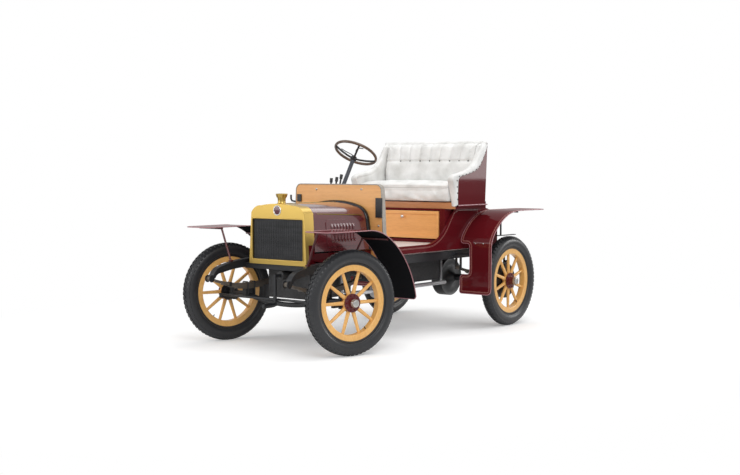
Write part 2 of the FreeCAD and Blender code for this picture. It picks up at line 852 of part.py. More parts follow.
def rear_axle():
    """Live axle: tube, differential case, brake back plates, axle shafts and spring pads."""
    body = new_body("rear_axle_case")
    shaft_end = "(track / 2 + hub_bore_depth - hub_inner_reach - moving_gap)"
    plate = "(rear_tube_end + drum_wall)"
    half = [
        (shaft_end, 0),
        (shaft_end, "spindle_radius"),
        (plate, "spindle_radius"),
        (plate, "drum_radius - drum_wall - drum_gap"),
        ("rear_tube_end", "drum_radius - drum_wall - drum_gap"),
        ("rear_tube_end", "rear_tube_radius"),
        ("differential_half_width", "rear_tube_radius", "-differential_half_width"),
        ("differential_face", "differential_radius"),
    ]
    other = [(f"-{corner[0]}",) + tuple(corner[1:2]) for corner in reversed(half[1:])]
    other[0] = other[0] + ("-differential_half_width",)
    corners = half + other + [(f"-{shaft_end}", 0)]
    turn(body, draw(new_sketch(body, "YZ_Plane"), corners), "Y_Axis")
    place(body, REAR_AXLE, 0, HUB_LINE)
    pads = [
        spring_pad(f"rear_pad_{sign}", REAR_AXLE, sign, "rear_pad_length", "rear_spring_top")
        for sign in (1, -1)
    ]
    node(fuse("rear_axle_whole", [body] + pads), "rear_axle")


def spring_end(half_span, top):
    """Place of the spring's eye: distance from the axle and height."""
    angle = f"asin({half_span} / spring_radius)"
    return f"({top} + spring_radius * (1 - cos({angle})) - leaf_thickness / 2)"


def leaf_spring(name, half_span, top, x):
    """Half-elliptic pack with shorter leaves below and a bored eye at each end."""
    body = new_body(f"{name}_pack")
    wide = f"asin({half_span} / spring_radius)"
    centre = f"({top} + spring_radius)"

    def spot(step, share, sign):
        radius = f"(spring_radius + {step} * leaf_thickness)"
        angle = f"({sign} * {wide} * {share})"
        return (f"{radius} * sin({angle})", f"{centre} - {radius} * cos({angle})")

    count = int(SIZES["leaf_count"])
    shares = [f"(1 - {step} * leaf_step_share)" for step in range(count)]
    outline = [spot(0, shares[0], -1) + ("spring_radius",), spot(0, shares[0], 1)]
    for step in range(1, count):
        back = f"-(spring_radius + {step} * leaf_thickness)"
        outline += [spot(step, shares[step - 1], 1) + (back,), spot(step, shares[step], 1)]
    lowest = f"-(spring_radius + {count} * leaf_thickness)"
    outline += [spot(count, shares[-1], 1) + (lowest,), spot(count, shares[-1], -1)]
    for step in range(count - 1, 0, -1):
        back = f"-(spring_radius + {step} * leaf_thickness)"
        outline += [spot(step, shares[step], -1) + (back,), spot(step, shares[step - 1], -1)]
    pad(body, draw(new_sketch(body, "XZ_Plane"), outline), "spring_width", midplane=True)
    eye_height = spring_end(half_span, top)
    for sign in (1, -1):
        eye = circle(new_sketch(body, "XZ_Plane"), f"{sign} * {half_span}", eye_height, "spring_eye_radius")
        pad(body, eye, "spring_width", midplane=True)
    doc.recompute()
    for sign in (1, -1):
        bore = circle(new_sketch(body, "XZ_Plane"), f"{sign} * {half_span}", eye_height, "shackle_bolt_radius + running_gap")
        pocket(body, bore, "spring_width + 2 * overrun", midplane=True)
    place(body, x, "rail_centre")
    node(both_sides(f"{name}_pair", body), name)


# Frame


def frame_rails():
    """Pressed channel side members with dumb irons and spring hangers."""
    body = new_body("frame_rail_pressing")
    straight = "(rail_rear_setback - rail_bend_setback)"
    start = behind("rail_rear_setback")
    legs = [
        (straight,),
        ("horn_bend_radius", "-horn_bend_angle"),
        ("horn_tip_radius", "-horn_tip_angle"),
        ("horn_tip_length",),
    ]
    depths = ["rail_depth", "rail_depth", "horn_bend_depth", "horn_tip_depth", "horn_tip_depth"]
    outline = strip(start, "rail_top", 0, legs, depths)
    inner = "(rail_centre - rail_width / 2)"
    outer = "(rail_centre + rail_width / 2)"
    pad(body, draw(new_sketch(body, "XZ_Plane", f"-{outer}"), outline), "rail_width")
    doc.recompute()
    hollow = new_sketch(body, "XZ_Plane", f"-{inner}")
    rectangle(hollow, f"{start} + rail_depth", "rail_top - rail_depth + rail_wall",
              behind("rail_bend_setback"), "rail_top - rail_wall")
    pocket(body, hollow, "rail_width - rail_wall")
    front_eye = spring_end("front_spring_half_span", "front_spring_top")
    rear_eye = spring_end("rear_spring_half_span", "rear_spring_top")
    pieces = [body, horn_cheek("horn", front_eye, 1), horn_cheek("horn", front_eye, -1)]
    bolt_y = "rail_centre - rail_width / 2"
    hangers = [
        ("front_rear", f"({FRONT_AXLE} - front_spring_half_span)", front_eye),
        ("rear_front", f"({REAR_AXLE} + rear_spring_half_span)", rear_eye),
        ("rear_rear", f"({REAR_AXLE} - rear_spring_half_span)", rear_eye),
    ]
    bolts = [("horn", f"({FRONT_AXLE} + front_spring_half_span)", front_eye)] + hangers
    for name, x, z in bolts:
        bolt = cylinder(f"bolt_{name}", "shackle_bolt_radius", "rail_width", x, bolt_y, z, (1, 0, 0), -QUARTER_TURN)
        pieces.append(bolt)
    cheek = "(spring_width / 2 + seat_gap)"
    for name, x, z in hangers:
        for sign in (1, -1):
            sides = [f"rail_centre + {sign} * {cheek}", f"rail_centre + {sign} * rail_width / 2"]
            low, high = sorted(sides, key=size)
            pieces.append(box(
                f"hanger_{name}_{'outer' if sign > 0 else 'inner'}",
                (f"{x} - shackle_width / 2", low, f"{z} - shackle_width / 2"),
                (f"{x} + shackle_width / 2", high, "rail_top - rail_depth + rail_wall / 2"),
            ))
    rail = fuse("frame_rail_half", pieces)
    node(both_sides("frame_rails_pair", rail), "frame_rails")


def horn_cheek(name, height, sign):
    """Round cheek of a dumb iron beside the spring's eye."""
    cheek = "(spring_width / 2 + seat_gap)"
    sides = [f"rail_centre + {sign} * {cheek}", f"rail_centre + {sign} * rail_width / 2"]
    low = min(sides, key=size)
    span = f"rail_width / 2 - {cheek}"
    x = f"({FRONT_AXLE} + front_spring_half_span)"
    label = f"{name}_cheek_{'outer' if sign > 0 else 'inner'}"
    return cylinder(label, "horn_cheek_radius", span, x, low, height, (1, 0, 0), -QUARTER_TURN)


def cross_members():
    """Bars between the side members."""
    half = "(rail_centre - rail_width / 2 - seat_gap)"
    members = []
    for name in ("front", "middle", "seat", "rear"):
        x = behind(f"{name}_member_setback")
        low = (f"{x} - cross_member_length / 2", f"-{half}", "radiator_bottom - seat_gap - cross_member_depth")
        high = (f"{x} + cross_member_length / 2", half, "radiator_bottom - seat_gap")
        members.append(box(f"{name}_member", low, high))
    node(compound("cross_members_group", members), "cross_members")


# Engine, gearbox and exhaust


def along_x(name, radius, start, end, y, z):
    """Round bar along X between two bound places."""
    return cylinder(name, radius, f"({end}) - ({start})", start, y, z, (0, 1, 0), QUARTER_TURN)


def engine():
    """Plain block of the engine with its crankcase, bearer arms and starting boss."""
    front = behind("engine_front_setback")
    back = f"({front} - engine_length)"
    rail = "(rail_centre - rail_width / 2 - seat_gap)"
    wide = "crankcase_half_width"
    arm = f"({front} - engine_length / 2)"
    pieces = [
        box("crankcase", (back, f"-{wide}", "crankcase_bottom"), (front, wide, "crankcase_top")),
        box("cylinders", (f"{back} + cylinder_margin", "-cylinder_half_width", "crankcase_top - overrun"),
            (f"{front} - cylinder_margin", "cylinder_half_width", "cylinder_top")),
        box("engine_arms", (f"{arm} - cross_member_length / 2", f"-{rail}", "rail_top - rail_depth"),
            (f"{arm} + cross_member_length / 2", rail, "rail_top - rail_depth + bearer_width")),
        along_x("crank_boss", "crank_boss_radius", f"{front} - overrun", f"{FRONT_AXLE} + crank_boss_reach",
                0, "crank_line"),
    ]
    bore = along_x("crank_bore", "crank_shaft_radius + running_gap", front,
                   f"{FRONT_AXLE} + crank_boss_reach + overrun", 0, "crank_line")
    node(cut("engine_bored", fuse("engine_whole", pieces), bore), "engine_block")


def gearbox():
    """Gearbox between the side members, with the shafts to the engine and to the rear axle."""
    front = behind("gearbox_front_setback")
    back = f"({front} - gearbox_length)"
    rail = "(rail_centre - rail_width / 2 - seat_gap)"
    wide = "gearbox_half_width"
    engine_back = f"({FRONT_AXLE} - engine_front_setback - engine_length)"
    arm = f"({front} - gearbox_length / 2)"
    reach_x = f"({back} - {REAR_AXLE})"
    reach_z = f"(drive_line - {HUB_LINE})"
    share = f"((differential_radius + seat_gap) / sqrt({reach_x}^2 + {reach_z}^2))"
    end = (f"{REAR_AXLE} + {share} * {reach_x}", 0, f"{HUB_LINE} + {share} * {reach_z}")
    start = (f"{back} + overrun", 0, f"drive_line + overrun * {reach_z} / {reach_x}")
    pieces = [
        box("gearbox_case", (back, f"-{wide}", "gearbox_bottom"), (front, wide, "gearbox_top")),
        box("gearbox_tail", (f"{back} - gearbox_tail_length", f"-{wide}", "gearbox_bottom"),
            (f"{back} + overrun", wide, "gearbox_tail_top")),
        box("gearbox_arms", (f"{arm} - cross_member_length / 2", f"-{rail}", "rail_top - rail_depth"),
            (f"{arm} + cross_member_length / 2", rail, "rail_top - rail_depth + bearer_width")),
        along_x("drive_shaft", "drive_shaft_radius", f"{front} - overrun", f"{engine_back} - seat_gap",
                0, "drive_line"),
        rod("propeller_shaft", start, end, "propeller_shaft_radius"),
    ]
    node(fuse("gearbox_whole", pieces), "gearbox")


def bent_rod(name, points, radius, joint_radius):
    """Round rods from point to point, with a thicker ball in each bend."""
    pieces = [
        rod(f"{name}_{index}", start, end, radius)
        for index, (start, end) in enumerate(zip(points, points[1:]))
    ]
    for index, (x, y, z) in enumerate(points[1:-1]):
        ball = doc.addObject("Part::Sphere", f"{name}_bend_{index}")
        bind(ball, Radius=joint_radius)
        pieces.append(place(ball, x, y, z))
    return pieces


def exhaust():
    """Pipe from the cylinders, silencer and tail pipe, hung from the cross members."""
    back = behind("exhaust_rear_setback")
    can = behind("silencer_front_setback")
    riser = behind("exhaust_riser_setback")
    points = [
        (f"{can} - silencer_radius", "exhaust_offset", "exhaust_line"),
        (riser, "exhaust_riser_offset", "exhaust_line"),
        (riser, "exhaust_riser_offset", "exhaust_riser_height"),
        (riser, "cylinder_half_width + seat_gap", "exhaust_riser_height"),
    ]
    pieces = bent_rod("exhaust_front", points, "exhaust_radius", "exhaust_joint_radius")
    tail_end = f"{can} - silencer_length + silencer_radius"
    pieces.append(along_x("exhaust_tail", "exhaust_radius", back, tail_end, "exhaust_offset", "exhaust_line"))
    pieces.append(along_x("silencer", "silencer_radius", f"{can} - silencer_length", can,
                          "exhaust_offset", "exhaust_line"))
    for name in ("middle", "seat"):
        x = behind(f"{name}_member_setback")
        half = "exhaust_strap_half_width"
        low = (f"{x} - {half}", f"exhaust_offset - {half}", "exhaust_line")
        top = "radiator_bottom - 2 * seat_gap - cross_member_depth"
        pieces.append(box(f"strap_{name}", low, (f"{x} + {half}", f"exhaust_offset + {half}", top)))
    node(fuse("exhaust_whole", pieces), "exhaust")


# Radiator and starting crank


def radiator():
    """Arched brass shell with a filler and a blank boss, and the finned core inside it."""
    body = new_body("radiator_arch")
    rise = "(radiator_top - radiator_crown_height)"
    crown = f"((radiator_crown_half_width^2 + {rise}^2) / (2 * {rise}))"
    corners = [
        ("-radiator_bottom_half_width", "radiator_bottom"),
        ("radiator_bottom_half_width", "radiator_bottom"),
        ("radiator_shoulder_half_width", "radiator_shoulder_height", "radiator_corner_radius"),
        ("radiator_crown_half_width", "radiator_crown_height", crown),
        ("-radiator_crown_half_width", "radiator_crown_height", "radiator_corner_radius"),
        ("-radiator_shoulder_half_width", "radiator_shoulder_height"),
    ]
    back = f"({FRONT_AXLE} + radiator_front - radiator_depth)"
    pad(body, draw(new_sketch(body, "YZ_Plane", back), corners), "radiator_depth")
    doc.recompute()
    opening = new_sketch(body, "YZ_Plane", back)
    rectangle(opening, "-core_half_width", "core_bottom", "core_half_width", "core_top")
    pocket(body, opening, "radiator_depth")
    below = new_sketch(body, "YZ_Plane", back)
    reach = "(radiator_bottom_half_width + overrun)"
    rectangle(below, f"-{reach}", "radiator_bottom - overrun", reach, "radiator_flange_bottom")
    pocket(body, below, "radiator_depth - radiator_rim_depth")
    x = f"({back} + radiator_depth / 2)"
    face = f"({FRONT_AXLE} + radiator_front)"
    foot = "(radiator_top - overrun)"
    neck = f"filler_height - {foot}"
    cap_foot = "filler_height - filler_cap_height"
    pieces = [
        body,
        cylinder("filler_neck", "filler_radius", neck, x, 0, foot),
        cylinder("filler_cap", "filler_flange_radius", "filler_cap_height", x, 0, cap_foot),
        along_x("badge_boss", "badge_radius", f"{face} - overrun", f"{face} + badge_thickness", 0, "badge_height"),
    ]
    node(fuse("radiator_whole", pieces), "radiator_shell")
    wide = "(core_half_width - seat_gap)"
    core = box("radiator_block", (back, f"-{wide}", "core_bottom + seat_gap"),
               (f"{face} - core_recess", wide, "core_top - seat_gap"))
    node(core, "radiator_core")


def starting_crank():
    """Hand crank that hangs from the boss ahead of the engine."""
    face = f"({FRONT_AXLE} + crank_arm_front)"
    back = f"({face} - crank_arm_thickness)"
    half = "crank_arm_width / 2"
    low = "crank_line - crank_throw"
    pieces = [
        along_x("crank_shaft", "crank_shaft_radius", FRONT_AXLE, face, 0, "crank_line"),
        box("crank_arm", (back, f"-{half}", low), (face, half, "crank_line")),
        along_x("crank_top", half, back, face, 0, "crank_line"),
        along_x("crank_foot", half, back, face, 0, low),
        along_x("crank_handle", "crank_handle_radius", face, f"{face} + crank_handle_length", 0, low),
    ]
    node(fuse("starting_crank_whole", pieces), "starting_crank")


# Bonnet


def bonnet_half(side, sign):
    """One half of the bonnet: crown, shoulder and side in one sheet, wider towards the dashboard."""
    body = new_body(f"bonnet_{side}_sheet")
    sections = []
    for end, setback in (("front", "bonnet_front_setback"), ("rear", "bonnet_rear_setback")):
        legs = [
            (f"bonnet_{end}_crown_radius", f"-bonnet_{end}_crown_angle"),
            (f"bonnet_{end}_shoulder_radius", f"-bonnet_{end}_shoulder_angle"),
            (f"bonnet_{end}_side",),
        ]
        start = "bonnet_hinge_offset + bonnet_hinge_radius + bonnet_hinge_gap"
        top = "bonnet_hinge_height + bonnet_wall / 2"
        outline = strip(start, top, 0, legs, ["bonnet_wall"] * 4)
        sections.append(draw(new_sketch(body, "YZ_Plane", behind(setback)), outline))
    loft = body.newObject("PartDesign::AdditiveLoft", f"{body.Name}_loft")
    loft.Profile = sections[0]
    loft.Sections = [sections[1]]
    loft.Ruled = True
    body.Tip = loft
    if sign > 0:
        return node(body, f"bonnet_{side}")
    image = doc.addObject("Part::Mirroring", f"bonnet_{side}_image")
    image.Source = body
    image.Normal = (0, 1, 0)
    return node(image, f"bonnet_{side}")


def bonnet_hinge():
    """Centre bar with the two hinge rods, from the radiator to the dashboard."""
    back = f"({FRONT_AXLE} - dash_setback + seat_gap)"
    front = f"({FRONT_AXLE} + radiator_front - radiator_depth - seat_gap)"
    half = "(bonnet_hinge_offset - bonnet_hinge_radius + bonnet_wall / 4)"
    low = (back, f"-{half}", "bonnet_hinge_height - bonnet_wall")
    pieces = [box("hinge_bar", low, (front, half, "bonnet_hinge_height + bonnet_wall"))]
    for sign in (1, -1):
        name = "hinge_rod_left" if sign > 0 else "hinge_rod_right"
        y = f"{sign} * bonnet_hinge_offset"
        pieces.append(along_x(name, "bonnet_hinge_radius", back, front, y, "bonnet_hinge_height"))
    node(fuse("bonnet_hinge_whole", pieces), "bonnet_hinge")


def side_aprons():
    """Sheets between the bonnet's lower edges and the side members, with a ledge on each member and a cheek ahead."""
    body = new_body("side_apron_sheet")
    front = f"({FRONT_AXLE} + radiator_front - radiator_depth - seat_gap)"
    back = behind("dash_setback - seat_gap")
    outline = [
        (back, "apron_rear_offset"),
        (front, "apron_front_offset"),
        (front, "apron_front_offset + apron_wall"),
        (back, "apron_rear_offset + apron_wall"),
    ]
    wall = draw(new_sketch(body, "XY_Plane", "apron_bottom"), outline)
    pad(body, wall, "bonnet_bottom - moving_gap - apron_bottom")
    ledge = draw(new_sketch(body, "XY_Plane", "rail_top + seat_gap"), [
        (back, "apron_rear_offset + apron_wall / 2"),
        (front, "apron_front_offset + apron_wall / 2"),
        (front, "apron_ledge"),
        (back, "apron_ledge"),
    ])
    pad(body, ledge, "apron_wall")
    cheek = new_sketch(body, "XY_Plane", "apron_bottom")
    rectangle(cheek, behind("bonnet_front_setback - moving_gap"), "apron_front_offset",
              f"({FRONT_AXLE} + radiator_front - radiator_rim_depth - seat_gap)", "apron_front_offset + apron_wall")
    pad(body, cheek, "radiator_flange_bottom - seat_gap - apron_bottom")
    node(both_sides("side_aprons_pair", body), "side_aprons")


# Dashboard, floor and body


def wheel_tilt():
    """Tilt of the steering column, from the steering wheel to its hole in the floor."""
    return "atan((wheel_setback - column_floor_setback) / (wheel_height - floor_top + floor_board / 2))"


def column_foot():
    """Place of the column's lower end, inside the steering box: X and height."""
    z = "(apron_bottom - seat_gap - steering_box_height / 4)"
    x = f"({behind('column_floor_setback')} + (floor_top - floor_board / 2 - {z}) * tan({wheel_tilt()}))"
    return x, z


def column_line(name, radius):
    """Bar along the steering column, from the steering box to the steering wheel's boss."""
    x, z = column_foot()
    top = "(wheel_dish + wheel_boss_height / 2 + running_gap)"
    length = f"((wheel_height - {z}) / cos({wheel_tilt()}) - {top})"
    return cylinder(name, radius, length, x, "-wheel_offset", z, (0, 1, 0), f"-{wheel_tilt()}")


def dashboard():
    """Upright wooden board behind the bonnet."""
    body = new_body("dash_panel")
    corner = "dash_corner_radius"
    low = "rail_top + seat_gap"
    corners = [
        ("-dash_half_width", low),
        ("dash_half_width", low),
        ("dash_top_half_width", f"dash_top - {corner}", corner),
        (f"dash_top_half_width - {corner}", "dash_top"),
        (f"-dash_top_half_width + {corner}", "dash_top", corner),
        ("-dash_top_half_width", f"dash_top - {corner}"),
    ]
    level = behind("dash_setback + dash_thickness")
    pad(body, draw(new_sketch(body, "YZ_Plane", level), corners), "dash_thickness")
    hole = column_line("dash_column_hole", "column_radius + column_clearance")
    node(cut("dash_cut", body, hole), "dashboard")


def floor():
    """Floor boards on two bearers along the side members."""
    front = behind("dash_setback + dash_thickness + seat_gap")
    back = behind("box_front_setback - seat_gap")
    half = "(body_half_width - body_wall - seat_gap)"
    under = "(floor_top - floor_board)"
    boards = box("floor_panel", (back, f"-{half}", under), (front, half, "floor_top"))
    bearers = []
    for sign in (1, -1):
        sides = sorted([f"{sign} * (rail_centre - bearer_width / 2)", f"{sign} * (rail_centre + bearer_width / 2)"],
                       key=size)
        bearers.append(box(f"bearer_{'left' if sign > 0 else 'right'}",
                           (behind("box_rear_setback"), sides[0], "rail_top + seat_gap"),
                           (front, sides[1], under)))
    whole = fuse("floor_whole", [boards] + bearers)
    hole = column_line("floor_column_hole", "column_radius + column_clearance")
    node(cut("floor_cut", whole, hole), "floor_boards")


def sweep_line():
    """Upper edge of the body side, from the dashboard along the sill and up to the seat."""
    start = behind("dash_setback + dash_thickness + seat_gap")
    rise = "(seat_board_bottom - seat_gap - sill_top)"
    bends = "(sweep_lower_radius + sweep_upper_radius) * (1 - cos(sweep_angle))"
    straight = f"({rise} - {bends}) / sin(sweep_angle)"
    legs = [
        ("sweep_start_setback - dash_setback - dash_thickness - seat_gap",),
        ("sweep_lower_radius", "-sweep_angle"),
        (straight,),
        ("sweep_upper_radius", "sweep_angle"),
    ]
    return trail(start, "sill_top", HALF_TURN, legs)


def body_sides():
    """Body sides: low sills that sweep up to the seat and carry the tail."""
    body = new_body("body_side_panel")
    sweep = [(spot[0], spot[1]) + tuple(spot[3:]) for spot in sweep_line()]
    corners = [(behind("tail_setback"), "sill_bottom"), (sweep[0][0], "sill_bottom")]
    corners += sweep
    corners += [
        (behind("box_rear_setback + seat_gap"), sweep[-1][1]),
        (behind("box_rear_setback + seat_gap"), DECK_HEIGHT),
        (behind("deck_front_setback"), DECK_HEIGHT),
        (behind("deck_break_setback"), "deck_break_height"),
        (behind("tail_setback"), "tail_top"),
    ]
    pad(body, draw(new_sketch(body, "XZ_Plane", "-body_half_width"), corners), "body_wall")
    node(both_sides("body_sides_pair", body), "body_sides")


def rear_deck():
    """Sloping deck and tail panel between the body sides."""
    body = new_body("rear_deck_panel")
    front = behind("box_rear_setback + seat_gap")
    wall = "body_wall"
    corners = [
        (front, f"{DECK_HEIGHT} - {wall}"),
        (front, DECK_HEIGHT),
        (behind("deck_front_setback"), DECK_HEIGHT),
        (behind("deck_break_setback"), "deck_break_height"),
        (behind("tail_setback"), "tail_top"),
        (behind("tail_setback"), "sill_bottom"),
        (behind(f"tail_setback - {wall}"), "sill_bottom"),
        (behind(f"tail_setback - {wall}"), f"tail_top - {wall}"),
        (behind("deck_break_setback"), f"deck_break_height - {wall}"),
        (behind("deck_front_setback"), f"{DECK_HEIGHT} - {wall}"),
    ]
    width = "2 * (body_half_width - body_wall - seat_gap)"
    pad(body, draw(new_sketch(body, "XZ_Plane"), corners), width, midplane=True)
    node(body, "rear_deck")


def seat_box():
    """Locker under the seat, with its doorway and the pin that its door hangs on."""
    front = behind("box_front_setback")
    back = behind("box_rear_setback")
    half = "(body_half_width - body_wall - seat_gap)"
    low = "(floor_top - floor_board + seat_gap)"
    high = "(seat_board_bottom - seat_gap)"
    wall = "box_wall"
    outer = box("locker_outer", (back, f"-{half}", low), (front, half, high))
    inner = box("locker_inner", (f"{back} + {wall}", f"-{half} + {wall}", f"{low} + {wall}"),
                (f"{front} - {wall}", f"{half} - {wall}", f"{high} - {wall}"))
    gap = "moving_gap"
    doorway = box("locker_doorway", (f"{front} - {wall} - overrun", f"-door_half_width - {gap}",
                                     f"door_bottom - {gap} - door_pin_radius"),
                  (f"{front} + overrun", f"door_half_width + {gap}", f"door_top + {gap}"))
    x, z = door_pivot()
    pin_half = f"(door_half_width + {gap} + overrun)"
    pin_bar = cylinder("locker_pin", "door_pin_radius", f"2 * {pin_half}", x, f"-{pin_half}", z, (1, 0, 0), -QUARTER_TURN)
    shell = cut("locker_shell", outer, fuse("locker_room", [inner, doorway]))
    node(fuse("locker_whole", [shell, pin_bar]), "seat_box")


def door_pivot():
    """Axis of the locker door, near its lower front edge."""
    return f"({behind('box_front_setback')} - 2 * door_pin_radius)", "(door_bottom + 2 * door_pin_radius)"


def locker_door():
    """Drop-down door of the locker, with its turned knob."""
    front = behind("box_front_setback")
    panel = box("door_panel", (f"{front} - box_wall", "-door_half_width", "door_bottom"),
                (front, "door_half_width", "door_top"))
    knob = along_x("door_knob", "knob_radius", f"{front} - overrun", f"{front} + knob_length",
                   0, "door_top - knob_drop")
    x, z = door_pivot()
    reach = "(door_half_width + overrun)"
    bore = cylinder("door_bore", "door_pin_radius + running_gap", f"2 * {reach}", x, f"-{reach}", z,
                    (1, 0, 0), -QUARTER_TURN)
    node(cut("door_bored", fuse("door_whole", [panel, knob]), bore), "locker_door")


# Seat


def over_board(rise):
    """Height above the seat board."""
    return f"({BOARD_TOP} + {rise})"


def bow(start, end, share):
    """Radius of an arc whose bow is a share of the chord between two corners."""
    chord = f"sqrt(({end[0]} - {start[0]})^2 + ({end[1]} - {start[1]})^2)"
    return f"({chord} * (1 / 4 + {share}^2) / (2 * {share}))"


def arm_line(corners):
    """Upper edge of the arm and the wing, rounded from corner to corner."""
    nose, top, knee, end = corners
    return [
        nose + (bow(nose, top, "arm_nose_bow_share"),),
        top + (f"-{bow(top, knee, 'arm_bow_share')}",),
        knee + (f"-{bow(knee, end, 'wing_bow_share')}",),
        end,
    ]


def seat_tub():
    """Bent panel of the seat: two arms that rise to a wing, and the back between them."""
    body = new_body("seat_tub_panel")
    top = over_board("back_top_rise")
    bottom = f"({BOARD_TOP} - tub_lap)"
    edge = arm_line([
        (behind("arm_front_setback"), over_board("arm_front_rise")),
        (behind("arm_top_setback"), over_board("arm_top_rise")),
        (behind("wing_knee_setback"), over_board("wing_knee_rise")),
        (behind("back_top_setback"), top),
    ])
    side = [(behind("tub_front_low_setback"), bottom)] + edge + [
        (behind("back_top_setback + back_wall"), top),
        (behind("back_foot_setback + back_wall"), bottom),
    ]
    outer = "(seat_half_width + seat_gap + tub_wall)"
    pad(body, draw(new_sketch(body, "XZ_Plane", f"-{outer}"), side), "tub_wall")
    mirror = body.newObject("PartDesign::Mirrored", "seat_tub_sides")
    mirror.Originals = [body.Tip]
    mirror.MirrorPlane = (origin_item(body, "XZ_Plane"), [""])
    body.Tip = mirror
    back = [
        (behind("back_foot_setback"), over_board("seat_gap")),
        (behind("back_top_setback"), top),
        (behind("back_top_setback + back_wall"), top),
        (behind("back_foot_setback + back_wall"), over_board("seat_gap")),
    ]
    pad(body, draw(new_sketch(body, "XZ_Plane"), back), f"2 * {outer}", midplane=True)
    node(body, "seat_tub")


def seat():
    """Seat board and the plain solids of the upholstery."""
    board = box("seat_plank", (behind("box_rear_setback"), "-seat_half_width", "seat_board_bottom"),
                (behind("seat_board_front_setback"), "seat_half_width", BOARD_TOP))
    node(board, "seat_board")
    rest = over_board("seat_gap")
    inner = "(seat_half_width - arm_pad_thickness - seat_gap)"
    face = "back_foot_setback - squab_thickness - seat_gap"
    top_face = "back_top_setback - squab_thickness - seat_gap"
    nose = "squab_nose_radius"
    high = over_board("back_top_rise - squab_drop")
    squab = new_body("squab_pad")
    outline = [
        (behind("back_foot_setback - seat_gap"), rest),
        (behind(face), rest),
        (behind(f"{top_face} - squab_drop / 2"), f"{high} - {nose}", nose),
        (behind(f"{top_face} + {nose}"), high),
        (behind("back_top_setback - seat_gap - squab_drop / 4"), high),
    ]
    pad(squab, draw(new_sketch(squab, "XZ_Plane"), outline), f"2 * {inner}", midplane=True)
    node(squab, "seat_back")
    cushion = new_body("cushion_pad")
    corner = "cushion_corner_radius"
    rear = behind(f"{face} - seat_gap")
    outline = [
        (behind("cushion_front_setback"), rest),
        (behind("cushion_front_setback"), over_board(f"cushion_edge_rise - {corner}"), corner),
        (behind(f"cushion_front_setback + {corner}"), over_board("cushion_edge_rise"), "cushion_crown_radius"),
        (rear, over_board("cushion_edge_rise - squab_drop")),
        (rear, rest),
    ]
    pad(cushion, draw(new_sketch(cushion, "XZ_Plane"), outline), f"2 * {inner}", midplane=True)
    node(cushion, "seat_cushion")
    pads = new_body("arm_pad")
    edge = arm_line([
        (behind("arm_front_setback"), over_board("arm_front_rise")),
        (behind("arm_top_setback"), over_board("arm_top_rise + squab_drop")),
        (behind("wing_knee_setback - arm_roll_rise"), over_board("wing_knee_rise + arm_roll_rise")),
        (behind("back_top_setback - 2 * arm_roll_rise"), over_board("back_top_rise")),
    ])
    outline = [(behind("cushion_front_setback"), rest)] + edge + [
        (behind("back_top_setback - seat_gap"), over_board("back_top_rise")),
        (behind("back_foot_setback - seat_gap"), rest),
    ]
    pad(pads, draw(new_sketch(pads, "XZ_Plane", "-seat_half_width"), outline), "arm_pad_thickness")
    node(both_sides("arm_pads_pair", pads), "arm_pads")


# Fenders and their irons


def front_fender_trail():
    """Upper line of a front fender from its tip."""
    legs = [
        ("front_fender_flat",),
        ("front_fender_bend_radius", "front_fender_bend_angle"),
        ("front_fender_sweep_radius", "front_fender_sweep_angle"),
    ]
    return (f"({FRONT_AXLE} + front_fender_tip)", "front_fender_height", HALF_TURN, legs)


def rear_fender_trail():
    """Outer line of a rear fender from the foot of its apron."""
    legs = [
        ("rear_fender_foot_radius", "-rear_fender_foot_angle"),
        ("rear_fender_rise",),
        ("rear_fender_bend_radius", "rear_fender_bend_angle"),
        ("rear_fender_sweep_radius", f"{QUARTER_TURN} - rear_fender_bend_angle"),
        ("rear_fender_flat",),
    ]
    foot = f"{QUARTER_TURN} + rear_fender_foot_angle"
    return (behind("rear_fender_foot_setback"), "rear_fender_foot_height", foot, legs)


def round_corner(sketch, x, y, inward_x, inward_y, radius):
    """Draw what lies outside a quarter round at a square corner, from the directions that lead into the sheet."""
    start_x = f"({x} + {inward_x} * {radius})"
    end_y = f"({y} + {inward_y} * {radius})"
    out_x = f"({x} - {inward_x} * overrun)"
    out_y = f"({y} - {inward_y} * overrun)"
    bend = f"{-inward_x * inward_y} * {radius}"
    draw(sketch, [(start_x, y, bend), (x, end_y), (out_x, end_y), (out_x, out_y), (start_x, out_y)])


